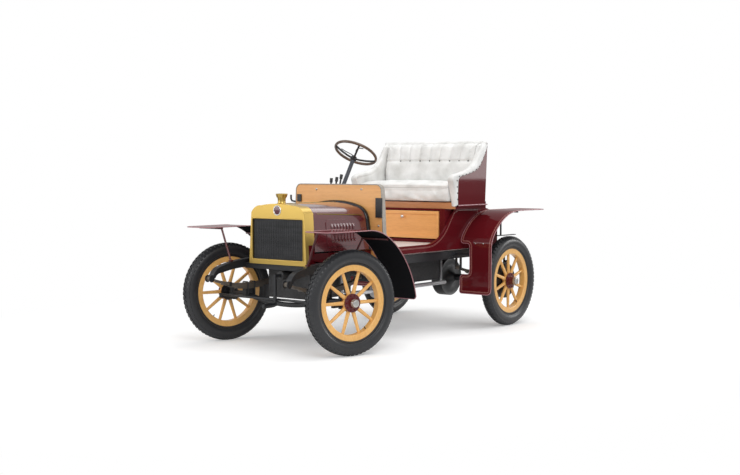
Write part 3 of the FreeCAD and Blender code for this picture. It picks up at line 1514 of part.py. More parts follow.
def fenders():
    """Bent sheet fenders with rounded corners, the rear ones with a narrowed apron."""
    front = new_body("front_fender_sheet")
    outline = strip(*front_fender_trail(), ["-fender_sheet"] * 4)
    sketch = draw(new_sketch(front, "XZ_Plane", "-front_fender_outer"), outline)
    pad(front, sketch, "front_fender_outer - front_fender_inner")
    doc.recompute()
    front_line = trail(*front_fender_trail())
    tip, foot = front_line[0], front_line[-1]
    corners = new_sketch(front, "XY_Plane", f"{tip[1]} + overrun")
    ends = new_sketch(front, "YZ_Plane", f"({foot[0]} - fender_foot_radius)")
    for y, inward in (("front_fender_inner", 1), ("front_fender_outer", -1)):
        round_corner(corners, tip[0], y, -1, inward, "fender_tip_radius")
        round_corner(ends, y, foot[1], inward, 1, "fender_foot_radius")
    pocket(front, corners, "fender_sheet + 2 * overrun")
    pocket(front, ends, "2 * fender_foot_radius")
    node(both_sides("front_fenders_pair", front), "front_fenders")
    rear = new_body("rear_fender_sheet")
    outline = strip(*rear_fender_trail(), ["-fender_sheet"] * 6)
    sketch = draw(new_sketch(rear, "XZ_Plane", "-rear_fender_outer"), outline)
    pad(rear, sketch, "rear_fender_outer - rear_fender_inner")
    doc.recompute()
    rear_line = trail(*rear_fender_trail())
    tip = rear_line[-1]
    level = behind("rear_fender_foot_setback + rear_fender_foot_radius")
    notch = new_sketch(rear, "YZ_Plane", level)
    inner, neck, bend = "rear_fender_inner", "rear_fender_notch_inner", "rear_fender_notch_radius"
    low, high = "rear_fender_notch_bottom", "rear_fender_notch_top"
    draw(notch, [
        (f"{inner} - overrun", f"{low} - {bend}"),
        (inner, f"{low} - {bend}", f"-{bend}"),
        (f"{inner} + {bend}", low),
        (f"{neck} - {bend}", low, bend),
        (neck, f"{low} + {bend}"),
        (neck, f"{high} - {bend}", bend),
        (f"{neck} - {bend}", high),
        (f"{inner} + {bend}", high, f"-{bend}"),
        (inner, f"{high} + {bend}"),
        (f"{inner} - overrun", f"{high} + {bend}"),
    ])
    pocket(rear, notch, "2 * rear_fender_foot_radius")
    corners = new_sketch(rear, "XY_Plane", f"{tip[1]} + overrun")
    ends = new_sketch(rear, "YZ_Plane", level)
    for y, inward in (("rear_fender_inner", 1), ("rear_fender_outer", -1)):
        round_corner(corners, tip[0], y, 1, inward, "fender_tip_radius")
        round_corner(ends, y, "rear_fender_foot_height", inward, 1, "fender_foot_radius")
    pocket(rear, corners, "fender_sheet + 2 * overrun")
    pocket(rear, ends, "2 * rear_fender_foot_radius")
    node(both_sides("rear_fenders_pair", rear), "rear_fenders")


def fender_irons():
    """Round irons that carry the fenders on the side members and the body."""
    line = front_fender_trail()
    bend = trail(*line)[2]
    lift = "(fender_sheet + stay_radius + seat_gap)"
    tip_x = f"({FRONT_AXLE} + front_stay_reach)"
    drop = "(front_stay_reach + rail_bend_setback - stay_foot / 2)"
    foot_z = f"(rail_top - horn_bend_radius + sqrt(horn_bend_radius^2 - {drop}^2) + seat_gap)"
    under = f"(front_fender_height - {lift})"
    bend_x = f"({bend[0]} - {lift} * sin({bend[2]}))"
    bend_z = f"({bend[1]} + {lift} * cos({bend[2]}))"
    knee = "(front_fender_inner + 2 * stay_radius)"
    reach = "(front_fender_outer - 2 * stay_radius)"
    irons = []
    for name, x, low, high in (("tip", tip_x, foot_z, under), ("bend", bend_x, "(rail_top + seat_gap)", bend_z)):
        half = "stay_foot / 2"
        foot = box(f"iron_foot_{name}", (f"{x} - {half}", f"rail_centre - {half}", low),
                   (f"{x} + {half}", f"rail_centre + {half}", f"{low} + stay_foot_height"))
        post = rod(f"iron_post_{name}", (x, "rail_centre", f"{low} + stay_foot_height / 2"), (x, knee, high),
                   "stay_radius")
        arm = rod(f"iron_arm_{name}", (x, f"{knee} - stay_radius", high), (x, reach, high), "stay_radius")
        irons.append(fuse(f"iron_{name}", [foot, post, arm]))
    rear_line = trail(*rear_fender_trail())
    rear_reach_y = "(rear_fender_outer - 2 * stay_radius)"
    apron = rear_line[1]
    apron_x = f"({apron[0]} - {lift})"
    irons.append(rod("iron_apron", (apron_x, "rail_centre + rail_width / 2 + seat_gap", "apron_iron_height"),
                     (apron_x, rear_reach_y, "apron_iron_height"), "stay_radius"))
    sweep_end = rear_line[4]
    deck_z = f"({sweep_end[1]} - {lift})"
    irons.append(rod("iron_deck", (sweep_end[0], "body_half_width + seat_gap", deck_z),
                     (sweep_end[0], rear_reach_y, deck_z), "stay_radius"))
    stay_x = behind("rear_stay_setback")
    low, high = "(rear_bar_height - rear_bar_thickness / 2)", "(rear_bar_height + rear_bar_thickness / 2)"
    half = "rear_bar_width / 2"
    bar = box("iron_rear_bar", (behind("rear_bar_rear_setback"), f"rear_stay_offset - {half}", low),
              (behind("rear_bar_front_setback"), f"rear_stay_offset + {half}", high))
    bracket = box("iron_rear_bracket", (f"{stay_x} - {half}", "body_half_width + seat_gap", low),
                  (f"{stay_x} + {half}", "rear_stay_offset", high))
    post = rod("iron_rear_post", (stay_x, "rear_stay_offset", "rear_bar_height"),
               (stay_x, "rear_stay_offset", f"{rear_line[-1][1]} - fender_sheet - seat_gap"), "stay_radius")
    irons.append(fuse("iron_rear", [bar, bracket, post]))
    half = compound("fender_irons_half", irons)
    node(both_sides("fender_irons_pair", half), "fender_irons")


# Steering wheel, column and side levers


def steering():
    """Steering wheel on its tilted column, and the box at the column's foot."""
    body = new_body("steering_wheel_rim")
    turn(body, circle(new_sketch(body, "XZ_Plane"), "wheel_rim_radius", 0, "wheel_grip_radius"), "Z_Axis")
    wheel = [body]
    low = "(-wheel_dish - wheel_boss_height / 2)"
    wheel.append(cylinder("wheel_boss", "wheel_boss_radius", "wheel_boss_height", 0, 0, low))
    for index in range(int(SIZES["wheel_spoke_count"])):
        angle = f"({index} * {FULL_TURN} / wheel_spoke_count + wheel_spoke_phase)"
        start = (0, 0, "-wheel_dish")
        end = (f"wheel_rim_radius * cos({angle})", f"wheel_rim_radius * sin({angle})", 0)
        wheel.append(rod(f"wheel_spoke_{index}", start, end, "wheel_spoke_radius"))
    whole = node(fuse("steering_wheel_whole", wheel), "steering_wheel")
    place(whole, behind("wheel_setback"), "-wheel_offset", "wheel_height", (0, 1, 0), f"-{wheel_tilt()}")
    foot_x = column_foot()[0]
    top = "(apron_bottom - seat_gap)"
    half = "steering_box_length / 2"
    case = box("steering_case", (f"{foot_x} - {half}", "-(rail_centre - rail_width / 2 - seat_gap)",
                                 f"{top} - steering_box_height"),
               (f"{foot_x} + {half}", "-wheel_offset + 2 * column_radius", top))
    node(fuse("steering_column_whole", [column_line("steering_shaft", "column_radius"), case]), "steering_column")


def side_levers():
    """Gear and brake levers outside the right side of the body."""
    x = behind("lever_pivot_setback")
    z = "lever_pivot_height"
    inner = "(rail_centre + rail_width / 2 + seat_gap)"
    shaft = cylinder("lever_shaft", "lever_shaft_radius", f"lever_offset + 2 * lever_spread - {inner}",
                     x, f"-(lever_offset + 2 * lever_spread)", z, (1, 0, 0), -QUARTER_TURN)
    pieces = [shaft]
    for index, (setback_share, height_share) in enumerate(LEVER_TOP_SHARES):
        y = f"(-lever_offset + {index - 1} * lever_spread)"
        top = (behind(f"lever_top_setback * {setback_share}"), y, f"lever_top_height * {height_share}")
        pieces.append(rod(f"lever_{index}", (x, y, z), top, "lever_radius"))
        along = FreeCAD.Vector(*[size(text) for text in top]) - FreeCAD.Vector(size(x), size(y), size(z))
        grip = along.normalize() * size("lever_knob_length")
        knob = doc.addObject("Part::Feature", f"lever_knob_{index}")
        knob.Shape = Part.makeCylinder(size("lever_knob_radius"), size("lever_knob_length"),
                                       FreeCAD.Vector(*[size(text) for text in top]) - grip, grip)
        pieces.append(knob)
    node(fuse("side_levers_whole", pieces), "side_levers")


def build():
    """Make every sub-part."""
    make_wheels()
    knuckle("left", 1)
    knuckle("right", -1)
    track_rod()
    front_axle()
    rear_axle()
    leaf_spring("front_springs", "front_spring_half_span", "front_spring_top", FRONT_AXLE)
    leaf_spring("rear_springs", "rear_spring_half_span", "rear_spring_top", REAR_AXLE)
    frame_rails()
    cross_members()
    engine()
    gearbox()
    exhaust()
    radiator()
    starting_crank()
    bonnet_half("left", 1)
    bonnet_half("right", -1)
    bonnet_hinge()
    side_aprons()
    dashboard()
    floor()
    body_sides()
    rear_deck()
    seat_box()
    locker_door()
    seat_tub()
    seat()
    fenders()
    fender_irons()
    steering()
    side_levers()
    doc.recompute()


def check():
    """Stop with a message if an object failed or a sub-part has no sound shape."""
    failed = [item.Name for item in doc.Objects if {"Invalid", "Error"} & set(item.State)]
    if failed:
        raise RuntimeError(f"failed objects: {failed}")
    for part in PARTS:
        if part.Shape.isNull() or not part.Shape.isValid():
            raise RuntimeError(f"no sound shape: {part.Label}")


def export():
    """Write each sub-part to its own file."""
    os.makedirs("parts", exist_ok=True)
    for part in PARTS:
        part.Shape.exportStep(f"parts/{part.Label}.step")
        print(part.Label, len(part.Shape.Solids), round(part.Shape.Volume / 1e3), part.Shape.BoundBox)


build()
check()
export()
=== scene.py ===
import logging
from collections.abc import Callable, Sequence
from dataclasses import dataclass, field, replace
from enum import Enum
from functools import cached_property
from math import asin, atan, atan2, ceil, copysign, cos, exp, hypot, pi, radians, sin, sqrt, tan, tau
from typing import NamedTuple

import bmesh
import bpy
from mathutils import Matrix, Vector
from mathutils.geometry import tessellate_polygon


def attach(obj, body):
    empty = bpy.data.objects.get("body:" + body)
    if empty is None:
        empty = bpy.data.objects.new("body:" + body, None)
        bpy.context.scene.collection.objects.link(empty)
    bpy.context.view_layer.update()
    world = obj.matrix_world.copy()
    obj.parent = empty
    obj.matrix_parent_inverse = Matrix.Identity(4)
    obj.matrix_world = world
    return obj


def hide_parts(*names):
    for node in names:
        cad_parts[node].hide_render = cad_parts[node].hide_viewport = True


LOG = logging.getLogger("brass_era_car")
Color = tuple[float, float, float]
Corner = tuple[float, ...]
Point2 = tuple[float, float]
Piece = bpy.types.Object
Socket = bpy.types.NodeSocket
Tree = bpy.types.NodeTree
Node = bpy.types.Node
Lines = Sequence[Sequence[Vector]]
Placer = Callable[[float, float, float], Vector]

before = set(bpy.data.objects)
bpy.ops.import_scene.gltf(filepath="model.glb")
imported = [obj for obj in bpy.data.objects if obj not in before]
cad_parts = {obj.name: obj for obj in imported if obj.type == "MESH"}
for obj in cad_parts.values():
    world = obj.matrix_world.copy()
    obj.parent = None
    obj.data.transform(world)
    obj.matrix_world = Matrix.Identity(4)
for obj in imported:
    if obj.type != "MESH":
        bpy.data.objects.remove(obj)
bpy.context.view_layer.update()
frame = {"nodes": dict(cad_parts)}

FRONT_AXLE = 0.9735
REAR_AXLE = -0.9765
HUB_LINE = 0.35
KINGPIN = 0.516
KINGPIN_INSET = 0.069
PARKED_STEER = radians(15.3)
SIDES = {"left": 1, "right": -1}
SHARP = 35.0


# Finishes


class Surface(Enum):
    """Kinds of surface, each with its own pattern of colour, gloss and relief."""

    PAINT = "paint"
    TWO_TONE = "two_tone"
    TWO_PART = "two_part"
    WOOD = "wood"
    LEATHER = "leather"
    RUBBER = "rubber"
    METAL = "metal"
    IRON = "iron"
    MAT = "mat"


@dataclass(frozen=True)
class Finish:
    """One finish of the car: its colours, gloss and the scale of its pattern."""

    name: str
    slot: str
    surface: Surface
    color: Color
    dark: Color
    roughness: float = 0.4
    metallic: float = 0.0
    coat: float = 0.0
    scale: float = 30.0
    stretch: Color = (1.0, 1.0, 1.0)
    share: float = 0.5
    relief: float = 0.0003
    specular: float = 0.5
    outside: Color = (0.0, 0.0, 1.0)
    split: float = 0.02


FENDER_BLACK = (0.012, 0.012, 0.0135)
BURGUNDY = Finish(
    "burgundy_paint", "burgundy", Surface.PAINT, (0.112, 0.0075, 0.0115), (0.09, 0.0058, 0.009),
    roughness=0.26, coat=0.36, scale=6.0, relief=0.0, specular=0.0)
BONNET_PAINT = Finish(
    "bonnet_paint", "burgundy", Surface.PAINT, (0.108, 0.007, 0.012), (0.088, 0.0055, 0.0095),
    roughness=0.2, coat=1.0, scale=6.0, relief=0.0, specular=1.0)
FENDER_TOP = Finish(
    "front_fender_paint", "burgundy", Surface.TWO_TONE, (0.112, 0.0075, 0.0115), FENDER_BLACK,
    roughness=0.3, coat=0.6, scale=6.0, relief=0.0, specular=0.0)
APRON_TOP = Finish(
    "rear_fender_paint", "burgundy", Surface.TWO_TONE, (0.105, 0.0072, 0.0105), FENDER_BLACK,
    roughness=0.26, coat=0.45, scale=6.0, relief=0.0, specular=0.0, outside=(0.5, 0.0, 1.0))
STAY_PAINT = Finish(
    "stay_paint", "black_iron", Surface.TWO_PART, (0.085, 0.007, 0.011), (0.012, 0.012, 0.014),
    roughness=0.32, coat=0.3, relief=0.0, outside=(1.0, 0.0, 0.0), split=0.0)
HUB_PAINT = Finish(
    "hub_paint", "burgundy", Surface.TWO_PART, (0.1, 0.007, 0.011), (0.012, 0.012, 0.014),
    roughness=0.32, coat=0.4, relief=0.0)
STRIPE = Finish(
    "stripe_paint", "burgundy", Surface.PAINT, (0.46, 0.2, 0.17), (0.36, 0.14, 0.12),
    coat=0.2, relief=0.0)
# Pale pink for the burgundy beads: a painted highlight that stands for the light along their crowns, not a paint colour
# of its own.
BEAD_HIGHLIGHT_PINK = Finish(
    "bead_painted_highlight", "burgundy", Surface.PAINT, (0.38, 0.16, 0.18), (0.28, 0.1, 0.12),
    roughness=0.3, coat=0.6, relief=0.0)
BLACK_IRON = Finish(
    "black_iron", "black_iron", Surface.IRON, (0.017, 0.018, 0.021), (0.007, 0.007, 0.008),
    roughness=0.42, scale=18.0, relief=0.0002)
COLUMN_IRON = Finish(
    "column_iron", "black_iron", Surface.IRON, (0.055, 0.062, 0.078), (0.022, 0.024, 0.03),
    roughness=0.36, scale=18.0, relief=0.0001)
SPRING_STEEL = Finish(
    "spring_steel", "spring_steel", Surface.IRON, (0.12, 0.098, 0.078), (0.022, 0.019, 0.017),
    roughness=0.5, scale=22.0, stretch=(1.0, 1.0, 5.0), relief=0.0004)
CAST_IRON = Finish(
    "cast_iron", "cast_iron", Surface.IRON, (0.04, 0.04, 0.042), (0.012, 0.012, 0.013),
    roughness=0.65, scale=60.0, relief=0.0006)
PIPE_STEEL = Finish(
    "pipe_steel", "pipe_steel", Surface.METAL, (0.66, 0.67, 0.7), (0.42, 0.42, 0.44),
    roughness=0.38, metallic=0.9, scale=20.0, relief=0.0001)
SILVER = Finish(
    "nickel_plate", "pipe_steel", Surface.METAL, (0.6, 0.59, 0.57), (0.48, 0.47, 0.45),
    roughness=0.34, metallic=1.0, relief=0.00003)
EDGE_STEEL = Finish(
    "edge_steel", "pipe_steel", Surface.METAL, (0.36, 0.33, 0.29), (0.24, 0.22, 0.19),
    roughness=0.5, metallic=0.3, scale=60.0, relief=0.0001)
BRASS = Finish(
    "lacquered_brass", "brass", Surface.METAL, (0.6, 0.412, 0.112), (0.52, 0.352, 0.09),
    roughness=0.33, metallic=1.0, coat=0.1, scale=7.0, stretch=(1.0, 0.3, 1.0), relief=0.0)
DULL_BRASS = Finish(
    "dull_brass", "brass", Surface.METAL, (0.26, 0.19, 0.04), (0.13, 0.09, 0.018),
    roughness=0.45, metallic=1.0, relief=0.00005)
WHEEL_WOOD = Finish(
    "wheel_wood", "wheel_wood", Surface.WOOD, (0.9, 0.52, 0.165), (0.62, 0.29, 0.07),
    roughness=0.34, coat=0.3, scale=9.0, stretch=(1.0, 6.0, 1.0), share=0.6)
RIM_STEEL = Finish(
    "rim_steel", "wheel_wood", Surface.IRON, (0.03, 0.028, 0.027), (0.012, 0.012, 0.012),
    relief=0.0001)
OAK = Finish(
    "varnished_oak", "oak", Surface.WOOD, (0.96, 0.495, 0.165), (0.6, 0.235, 0.062),
    coat=0.2, scale=6.0, stretch=(1.0, 0.5, 9.0), share=0.42)
DARK_OAK = Finish(
    "dark_oak", "oak", Surface.WOOD, (0.62, 0.27, 0.105), (0.3, 0.1, 0.034),
    coat=0.2, scale=6.0, stretch=(1.0, 0.5, 9.0))
GRIP_WOOD = Finish(
    "grip_wood", "wheel_rim_wood", Surface.WOOD, (0.15, 0.085, 0.05), (0.04, 0.028, 0.022),
    roughness=0.34, coat=0.4, scale=25.0, share=0.75)
LEATHER = Finish(
    "white_leather", "white_leather", Surface.LEATHER, (0.85, 0.85, 0.838), (0.56, 0.555, 0.53),
    roughness=0.55, scale=420.0, share=0.75, relief=0.0005)
SEAM_LEATHER = Finish(
    "seam_leather", "white_leather", Surface.LEATHER, (0.6, 0.59, 0.57), (0.36, 0.35, 0.33),
    roughness=0.6, scale=420.0, relief=0.0004)
RUBBER = Finish(
    "tyre_rubber", "tyre", Surface.RUBBER, (0.026, 0.027, 0.03), (0.012, 0.012, 0.014),
    roughness=0.38, scale=45.0, relief=0.0001)
GASKET = Finish(
    "black_rubber", "core_black", Surface.RUBBER, (0.007, 0.007, 0.008), (0.004, 0.004, 0.004),
    roughness=0.22, coat=0.5, scale=80.0, relief=0.0001, specular=0.2)
CORE_BLACK = Finish(
    "core_black", "core_black", Surface.IRON, (0.034, 0.035, 0.039), (0.009, 0.009, 0.011),
    roughness=0.55, scale=26.0, stretch=(1.0, 0.22, 2.2), share=0.9)
PALE_FLOOR = Finish(
    "pale_floor", "light_floor", Surface.MAT, (0.66, 0.58, 0.55), (0.48, 0.4, 0.37),
    roughness=0.8, scale=90.0, relief=0.0006)
ENAMEL = Finish(
    "badge_enamel", "burgundy", Surface.PAINT, (0.1, 0.012, 0.03), (0.07, 0.01, 0.02),
    roughness=0.25, coat=0.8, scale=40.0)
STUD_DARK = Finish(
    "dark_nail", "black_iron", Surface.IRON, (0.05, 0.045, 0.04), (0.02, 0.018, 0.016),
    roughness=0.35, metallic=0.8, scale=90.0)


class Graph:
    """Adds and links the nodes of one tree."""

    def __init__(self, tree: Tree) -> None:
        """Work on a tree."""
        self.tree = tree

    def feed(self, node: Node, inputs: dict[str | int, object]) -> Node:
        """Give a node its inputs.

        Args:
            node: the node.
            inputs: sockets or constant values, by the name or number of the input.

        Returns:
            The node.
        """
        for key, value in inputs.items():
            if isinstance(value, Socket):
                self.tree.links.new(value, node.inputs[key])
            else:
                node.inputs[key].default_value = value
        return node

    def add(self, kind: str, inputs: dict[str | int, object] | None = None, **settings: object) -> Node:
        """Add a node.

        Args:
            kind: its type.
            inputs: its inputs, as feed takes them.
            settings: the node's own settings.

        Returns:
            The node.
        """
        node = self.tree.nodes.new(kind)
        for key, value in settings.items():
            setattr(node, key, value)
        return self.feed(node, inputs or {})

    def math(self, operation: str, *values: object) -> Socket:
        """Add a number operation and return its result."""
        return self.add("ShaderNodeMath", dict(enumerate(values)), operation=operation).outputs[0]

    def found(self, kind: str) -> Node:
        """The node of a kind that a new tree already has."""
        return next(node for node in self.tree.nodes if node.type == kind)


class Effect(Graph):
    """Shared shader effect: a group that reads a place, a stretch and a scale, and puts out a mask and a height."""

    def __init__(self, name: str) -> None:
        """Begin the group under a name.

        Args:
            name: the group's name.
        """
        super().__init__(bpy.data.node_groups.new(name, "ShaderNodeTree"))
        for label, kind in (("Place", "Vector"), ("Stretch", "Vector"), ("Scale", "Float")):
            self.tree.interface.new_socket(label, in_out="INPUT", socket_type=f"NodeSocket{kind}")
        for label in ("Mask", "Height"):
            self.tree.interface.new_socket(label, in_out="OUTPUT", socket_type="NodeSocketFloat")
        source = self.add("NodeGroupInput").outputs
        self.scale = source["Scale"]
        self.place = self.add("ShaderNodeVectorMath", {0: source["Place"], 1: source["Stretch"]},
                              operation="MULTIPLY").outputs[0]

    def noise(self, finer: float, detail: float, low: float, high: float) -> Socket:
        """Add a noise whose contrast is stretched between two levels.

        Args:
            finer: how many times finer than the group's scale.
            detail: octaves of the noise.
            low: level that becomes 0.
            high: level that becomes 1.

        Returns:
            The socket of the mask.
        """
        scale = self.math("MULTIPLY", self.scale, finer)
        noise = self.add("ShaderNodeTexNoise", {"Vector": self.place, "Scale": scale, "Detail": detail}).outputs[0]
        return self.add("ShaderNodeMapRange", {"Value": noise, "From Min": low, "From Max": high}).outputs[0]

    def end(self, mask: Socket, height: Socket) -> Tree:
        """Put out the mask and the height, and return the group."""
        self.add("NodeGroupOutput", {"Mask": mask, "Height": height})
        return self.tree


class Effects:
    """The shared effects, each built once."""

    @cached_property
    def mottle(self) -> Tree:
        """Cloudy variation with a fine speckle, for paint, iron, rubber and plate."""
        effect = Effect("surface_mottle")
        cloud, speckle = effect.noise(1.0, 5.0, 0.32, 0.68), effect.noise(9.0, 3.0, 0.25, 0.75)
        return effect.end(effect.math("MULTIPLY", cloud, speckle), speckle)

    @cached_property
    def grain(self) -> Tree:
        """Wood grain: long streaks with pores between them."""
        effect = Effect("wood_grain")
        broad, streak = effect.noise(1.0, 4.0, 0.3, 0.7), effect.noise(6.0, 6.0, 0.35, 0.65)
        return effect.end(effect.math("MULTIPLY", effect.math("ADD", broad, streak), 0.5), streak)

    @cached_property
    def skin(self) -> Tree:
        """Leather skin: pebbled cells with soft soiling and creases.

        Returns:
            The group.
        """
        effect = Effect("leather_skin")
        cells = effect.add("ShaderNodeTexVoronoi", {"Vector": effect.place, "Scale": effect.scale})
        soil, crease = effect.noise(0.02, 5.0, 0.4, 0.75), effect.noise(0.12, 6.0, 0.3, 0.7)
        return effect.end(soil, effect.math("ADD", cells.outputs["Distance"], crease))


class PaintShop:
    """Turns finishes into materials and puts them on pieces."""

    coat_roughness = 0.05
    smooth_range = (0.97, 1.05)
    rough_range = (0.8, 1.25)

    def __init__(self) -> None:
        """Start with no material made."""
        self._effects = Effects()
        self._made: dict[str, bpy.types.Material] = {}

    def material(self, finish: Finish) -> bpy.types.Material:
        """Find or build the material of a finish."""
        if finish.name not in self._made:
            self._made[finish.name] = self._build(finish)
        return self._made[finish.name]

    def _build(self, finish: Finish) -> bpy.types.Material:
        """Build the material of a finish.

        Args:
            finish: the finish.

        Returns:
            The new material.
        """
        material = bpy.data.materials.new(finish.name)
        material.use_nodes = True
        graph = Graph(material.node_tree)
        shader = graph.found("BSDF_PRINCIPLED")
        kind = {Surface.WOOD: "grain", Surface.LEATHER: "skin"}.get(finish.surface, "mottle")
        place = graph.add("ShaderNodeTexCoord").outputs
        inputs = {"Place": place["Object"], "Scale": finish.scale, "Stretch": finish.stretch}
        effect = graph.add("ShaderNodeGroup", inputs, node_tree=getattr(self._effects, kind))
        mask = effect.outputs["Mask"]
        coat: Socket | float = finish.coat
        if finish.surface in (Surface.TWO_TONE, Surface.TWO_PART):
            share = self._far_side(graph, place, finish)
            coat = graph.math("MULTIPLY_ADD", share, -finish.coat, finish.coat)
        else:
            share = graph.math("MULTIPLY", mask, finish.share)
        colors = {0: share, "A": (*finish.color, 1.0), "B": (*finish.dark, 1.0)}
        tint = graph.add("ShaderNodeMix", colors, data_type="RGBA")
        low, high = self.smooth_range if finish.relief == 0 else self.rough_range
        gloss = graph.add("ShaderNodeMapRange", {"Value": mask, "To Min": finish.roughness * low,
                                                 "To Max": finish.roughness * high})
        graph.feed(shader, {
            "Base Color": next(socket for socket in tint.outputs if socket.identifier == "Result_Color"),
            "Metallic": finish.metallic, "Roughness": gloss.outputs[0], "Coat Weight": coat,
            "Coat Roughness": self.coat_roughness, "Specular IOR Level": finish.specular,
        })
        if finish.relief > 0:
            relief = graph.add("ShaderNodeBump", {"Distance": finish.relief, "Strength": 1.0,
                                                  "Height": effect.outputs["Height"]})
            graph.feed(shader, {"Normal": relief.outputs["Normal"]})
        return material

    @staticmethod
    def _far_side(graph: Graph, place: bpy.types.bpy_prop_collection, finish: Finish) -> Socket:
        """Mask of what faces away from the outward direction, or lies beyond the plane across it.

        Args:
            graph: the material's graph.
            place: the outputs of its coordinates node.
            finish: the finish, with the outward direction and the plane's place.

        Returns:
            The socket of the mask.
        """
        read = place["Object" if finish.surface is Surface.TWO_PART else "Normal"]
        facing = graph.add("ShaderNodeVectorMath", {0: read, 1: finish.outside}, operation="DOT_PRODUCT")
        return graph.math("LESS_THAN", facing.outputs["Value"], finish.split)

    def dress(self, piece: Piece, finish: Finish) -> Piece:
        """Give a piece one finish.

        Args:
            piece: the piece.
            finish: the finish.

        Returns:
            The piece.
        """
        if not piece.data.materials:
            piece.data.materials.append(None)
        for index in range(len(piece.data.materials)):
            piece.data.materials[index] = self.material(finish)
        return piece


SHOP = PaintShop()


# Shapes


def arc_points(start: Point2, end: Point2, radius: float, steps: int) -> list[Point2]:
    """Sample an arc of the shorter way round.

    Args:
        start: first point.
        end: last point, left out of the result.
        radius: the radius; the arc turns left when it is positive.
        steps: number of parts.

    Returns:
        The points from the first up to the one before the last.
    """
    ax, ay = start
    bx, by = end
    chord = hypot(bx - ax, by - ay)
    reach = max(abs(radius), chord / 2)
    rise = sqrt(reach * reach - chord * chord / 4) * copysign(1, radius)
    cx = (ax + bx) / 2 - (by - ay) / chord * rise
    cy = (ay + by) / 2 + (bx - ax) / chord * rise
    first = atan2(ay - cy, ax - cx)
    last = atan2(by - cy, bx - cx)
    sweep = (last - first) % tau
    if radius < 0:
        sweep -= tau
    return [
        (cx + reach * cos(first + sweep * step / steps), cy + reach * sin(first + sweep * step / steps))
        for step in range(steps)
    ]


def outline(corners: Sequence[Corner], closed: bool = True, steps: int = 12) -> list[Point2]:
    """Sample an outline of corners (a, b) or (a, b, radius of the arc that leaves it).

    Args:
        corners: the corners.
        closed: whether the last corner joins the first.
        steps: parts of each arc.

    Returns:
        The points of the outline.
    """
    points: list[Point2] = []
    count = len(corners) if closed else len(corners) - 1
    for index in range(count):
        corner = corners[index]
        after = corners[(index + 1) % len(corners)]
        if len(corner) == 3:
            points += arc_points(corner[:2], after[:2], corner[2], steps)
        else:
            points.append((corner[0], corner[1]))
    if not closed:
        points.append((corners[-1][0], corners[-1][1]))
    return points


def vec(x: float, y: float, z: float) -> Vector:
    """Vector of three numbers."""
    return Vector((x, y, z))


def bow(start: Point2, end: Point2, share: float) -> float:
    """Radius of an arc whose bow is a share of its chord."""
    return hypot(end[0] - start[0], end[1] - start[1]) * (0.25 + share * share) / (2 * share)


def blend(first: Sequence[float], second: Sequence[float], share: float) -> list[float]:
    """Numbers between those of two rows, by a share."""
    return [a + (b - a) * share for a, b in zip(first, second)]


class Spot(NamedTuple):
    """A point of a line in the car's side view with the outward direction there."""

    x: float
    z: float
    out_x: float
    out_z: float


@dataclass(frozen=True)
class Trail:
    """Line in the car's side view: straight legs (length,) and tangent bends (radius, turn in degrees)."""

    x: float
    z: float
    heading: float
    legs: tuple[tuple[float, ...], ...]

    def spots(self, step: float) -> list[Spot]:
        """Sample the line.

        Args:
            step: greatest distance between spots.

        Returns:
            The spots along the line.
        """
        found = [self._spot(self.x, self.z, self.heading)]
        x, z, heading = self.x, self.z, self.heading
        for leg in self.legs:
            length = leg[0] if len(leg) == 1 else abs(leg[0] * radians(leg[1]))
            bend = 0.0 if len(leg) == 1 else leg[1]
            parts = max(1, ceil(length / step))
            for _ in range(parts):
                middle = radians(heading + bend / parts / 2)
                half = radians(bend / parts / 2)
                chord = length / parts * (sin(half) / half if half else 1.0)
                x += chord * cos(middle)
                z += chord * sin(middle)
                heading += bend / parts
                found.append(self._spot(x, z, heading))
        return found

    @staticmethod
    def _spot(x: float, z: float, heading: float) -> Spot:
        """Make the spot at a point and heading, with the outside on the right."""
        turn = radians(heading)
        return Spot(x, z, sin(turn), -cos(turn))


def linked(name: str, data: bpy.types.ID) -> Piece:
    """Put a mesh, camera or lamp into the scene as an object."""
    piece = bpy.data.objects.new(name, data)
    bpy.context.scene.collection.objects.link(piece)
    return piece


def mesh_piece(name: str, points: Sequence[Vector], faces: Sequence[Sequence[int]], smooth: bool = True) -> Piece:
    """Make an object from points and faces, merged and facing outwards.

    Args:
        name: its name.
        points: its vertices.
        faces: its faces.
        smooth: whether it is shaded smooth.

    Returns:
        The object, in the scene.
    """
    mesh = bpy.data.meshes.new(name)
    mesh.from_pydata([tuple(point) for point in points], [], [tuple(face) for face in faces])
    return clean(linked(name, mesh), smooth)


def clean(piece: Piece, smooth: bool = True) -> Piece:
    """Merge doubled vertices, turn all faces outwards, and shade a piece smooth or flat.

    Args:
        piece: the piece.
        smooth: whether it is smooth.

    Returns:
        The piece.
    """
    work = bmesh.new()
    work.from_mesh(piece.data)
    bmesh.ops.remove_doubles(work, verts=work.verts, dist=1e-6)
    bmesh.ops.dissolve_degenerate(work, edges=work.edges, dist=1e-7)
    bmesh.ops.recalc_face_normals(work, faces=work.faces)
    for face in work.faces:
        face.smooth = smooth
    work.to_mesh(piece.data)
    work.free()
    return piece


def lofted(name: str, rings: Lines, closed: bool = False, smooth: bool = True) -> Piece:
    """Skin rings of equal length.

    Args:
        name: its name.
        rings: the rings, each a closed loop.
        closed: whether the last ring joins the first.
        smooth: whether it is shaded smooth.

    Returns:
        The object.
    """
    count = len(rings[0])
    points = [point for ring in rings for point in ring]
    faces: list[Sequence[int]] = []
    for index in range(len(rings) if closed else len(rings) - 1):
        after = (index + 1) % len(rings)
        for spot in range(count):
            near, far = spot, (spot + 1) % count
            faces.append((index * count + near, index * count + far, after * count + far, after * count + near))
    if not closed:
        faces.append(tuple(reversed(range(count))))
        faces.append(tuple(range((len(rings) - 1) * count, len(rings) * count)))
    return mesh_piece(name, points, faces, smooth)


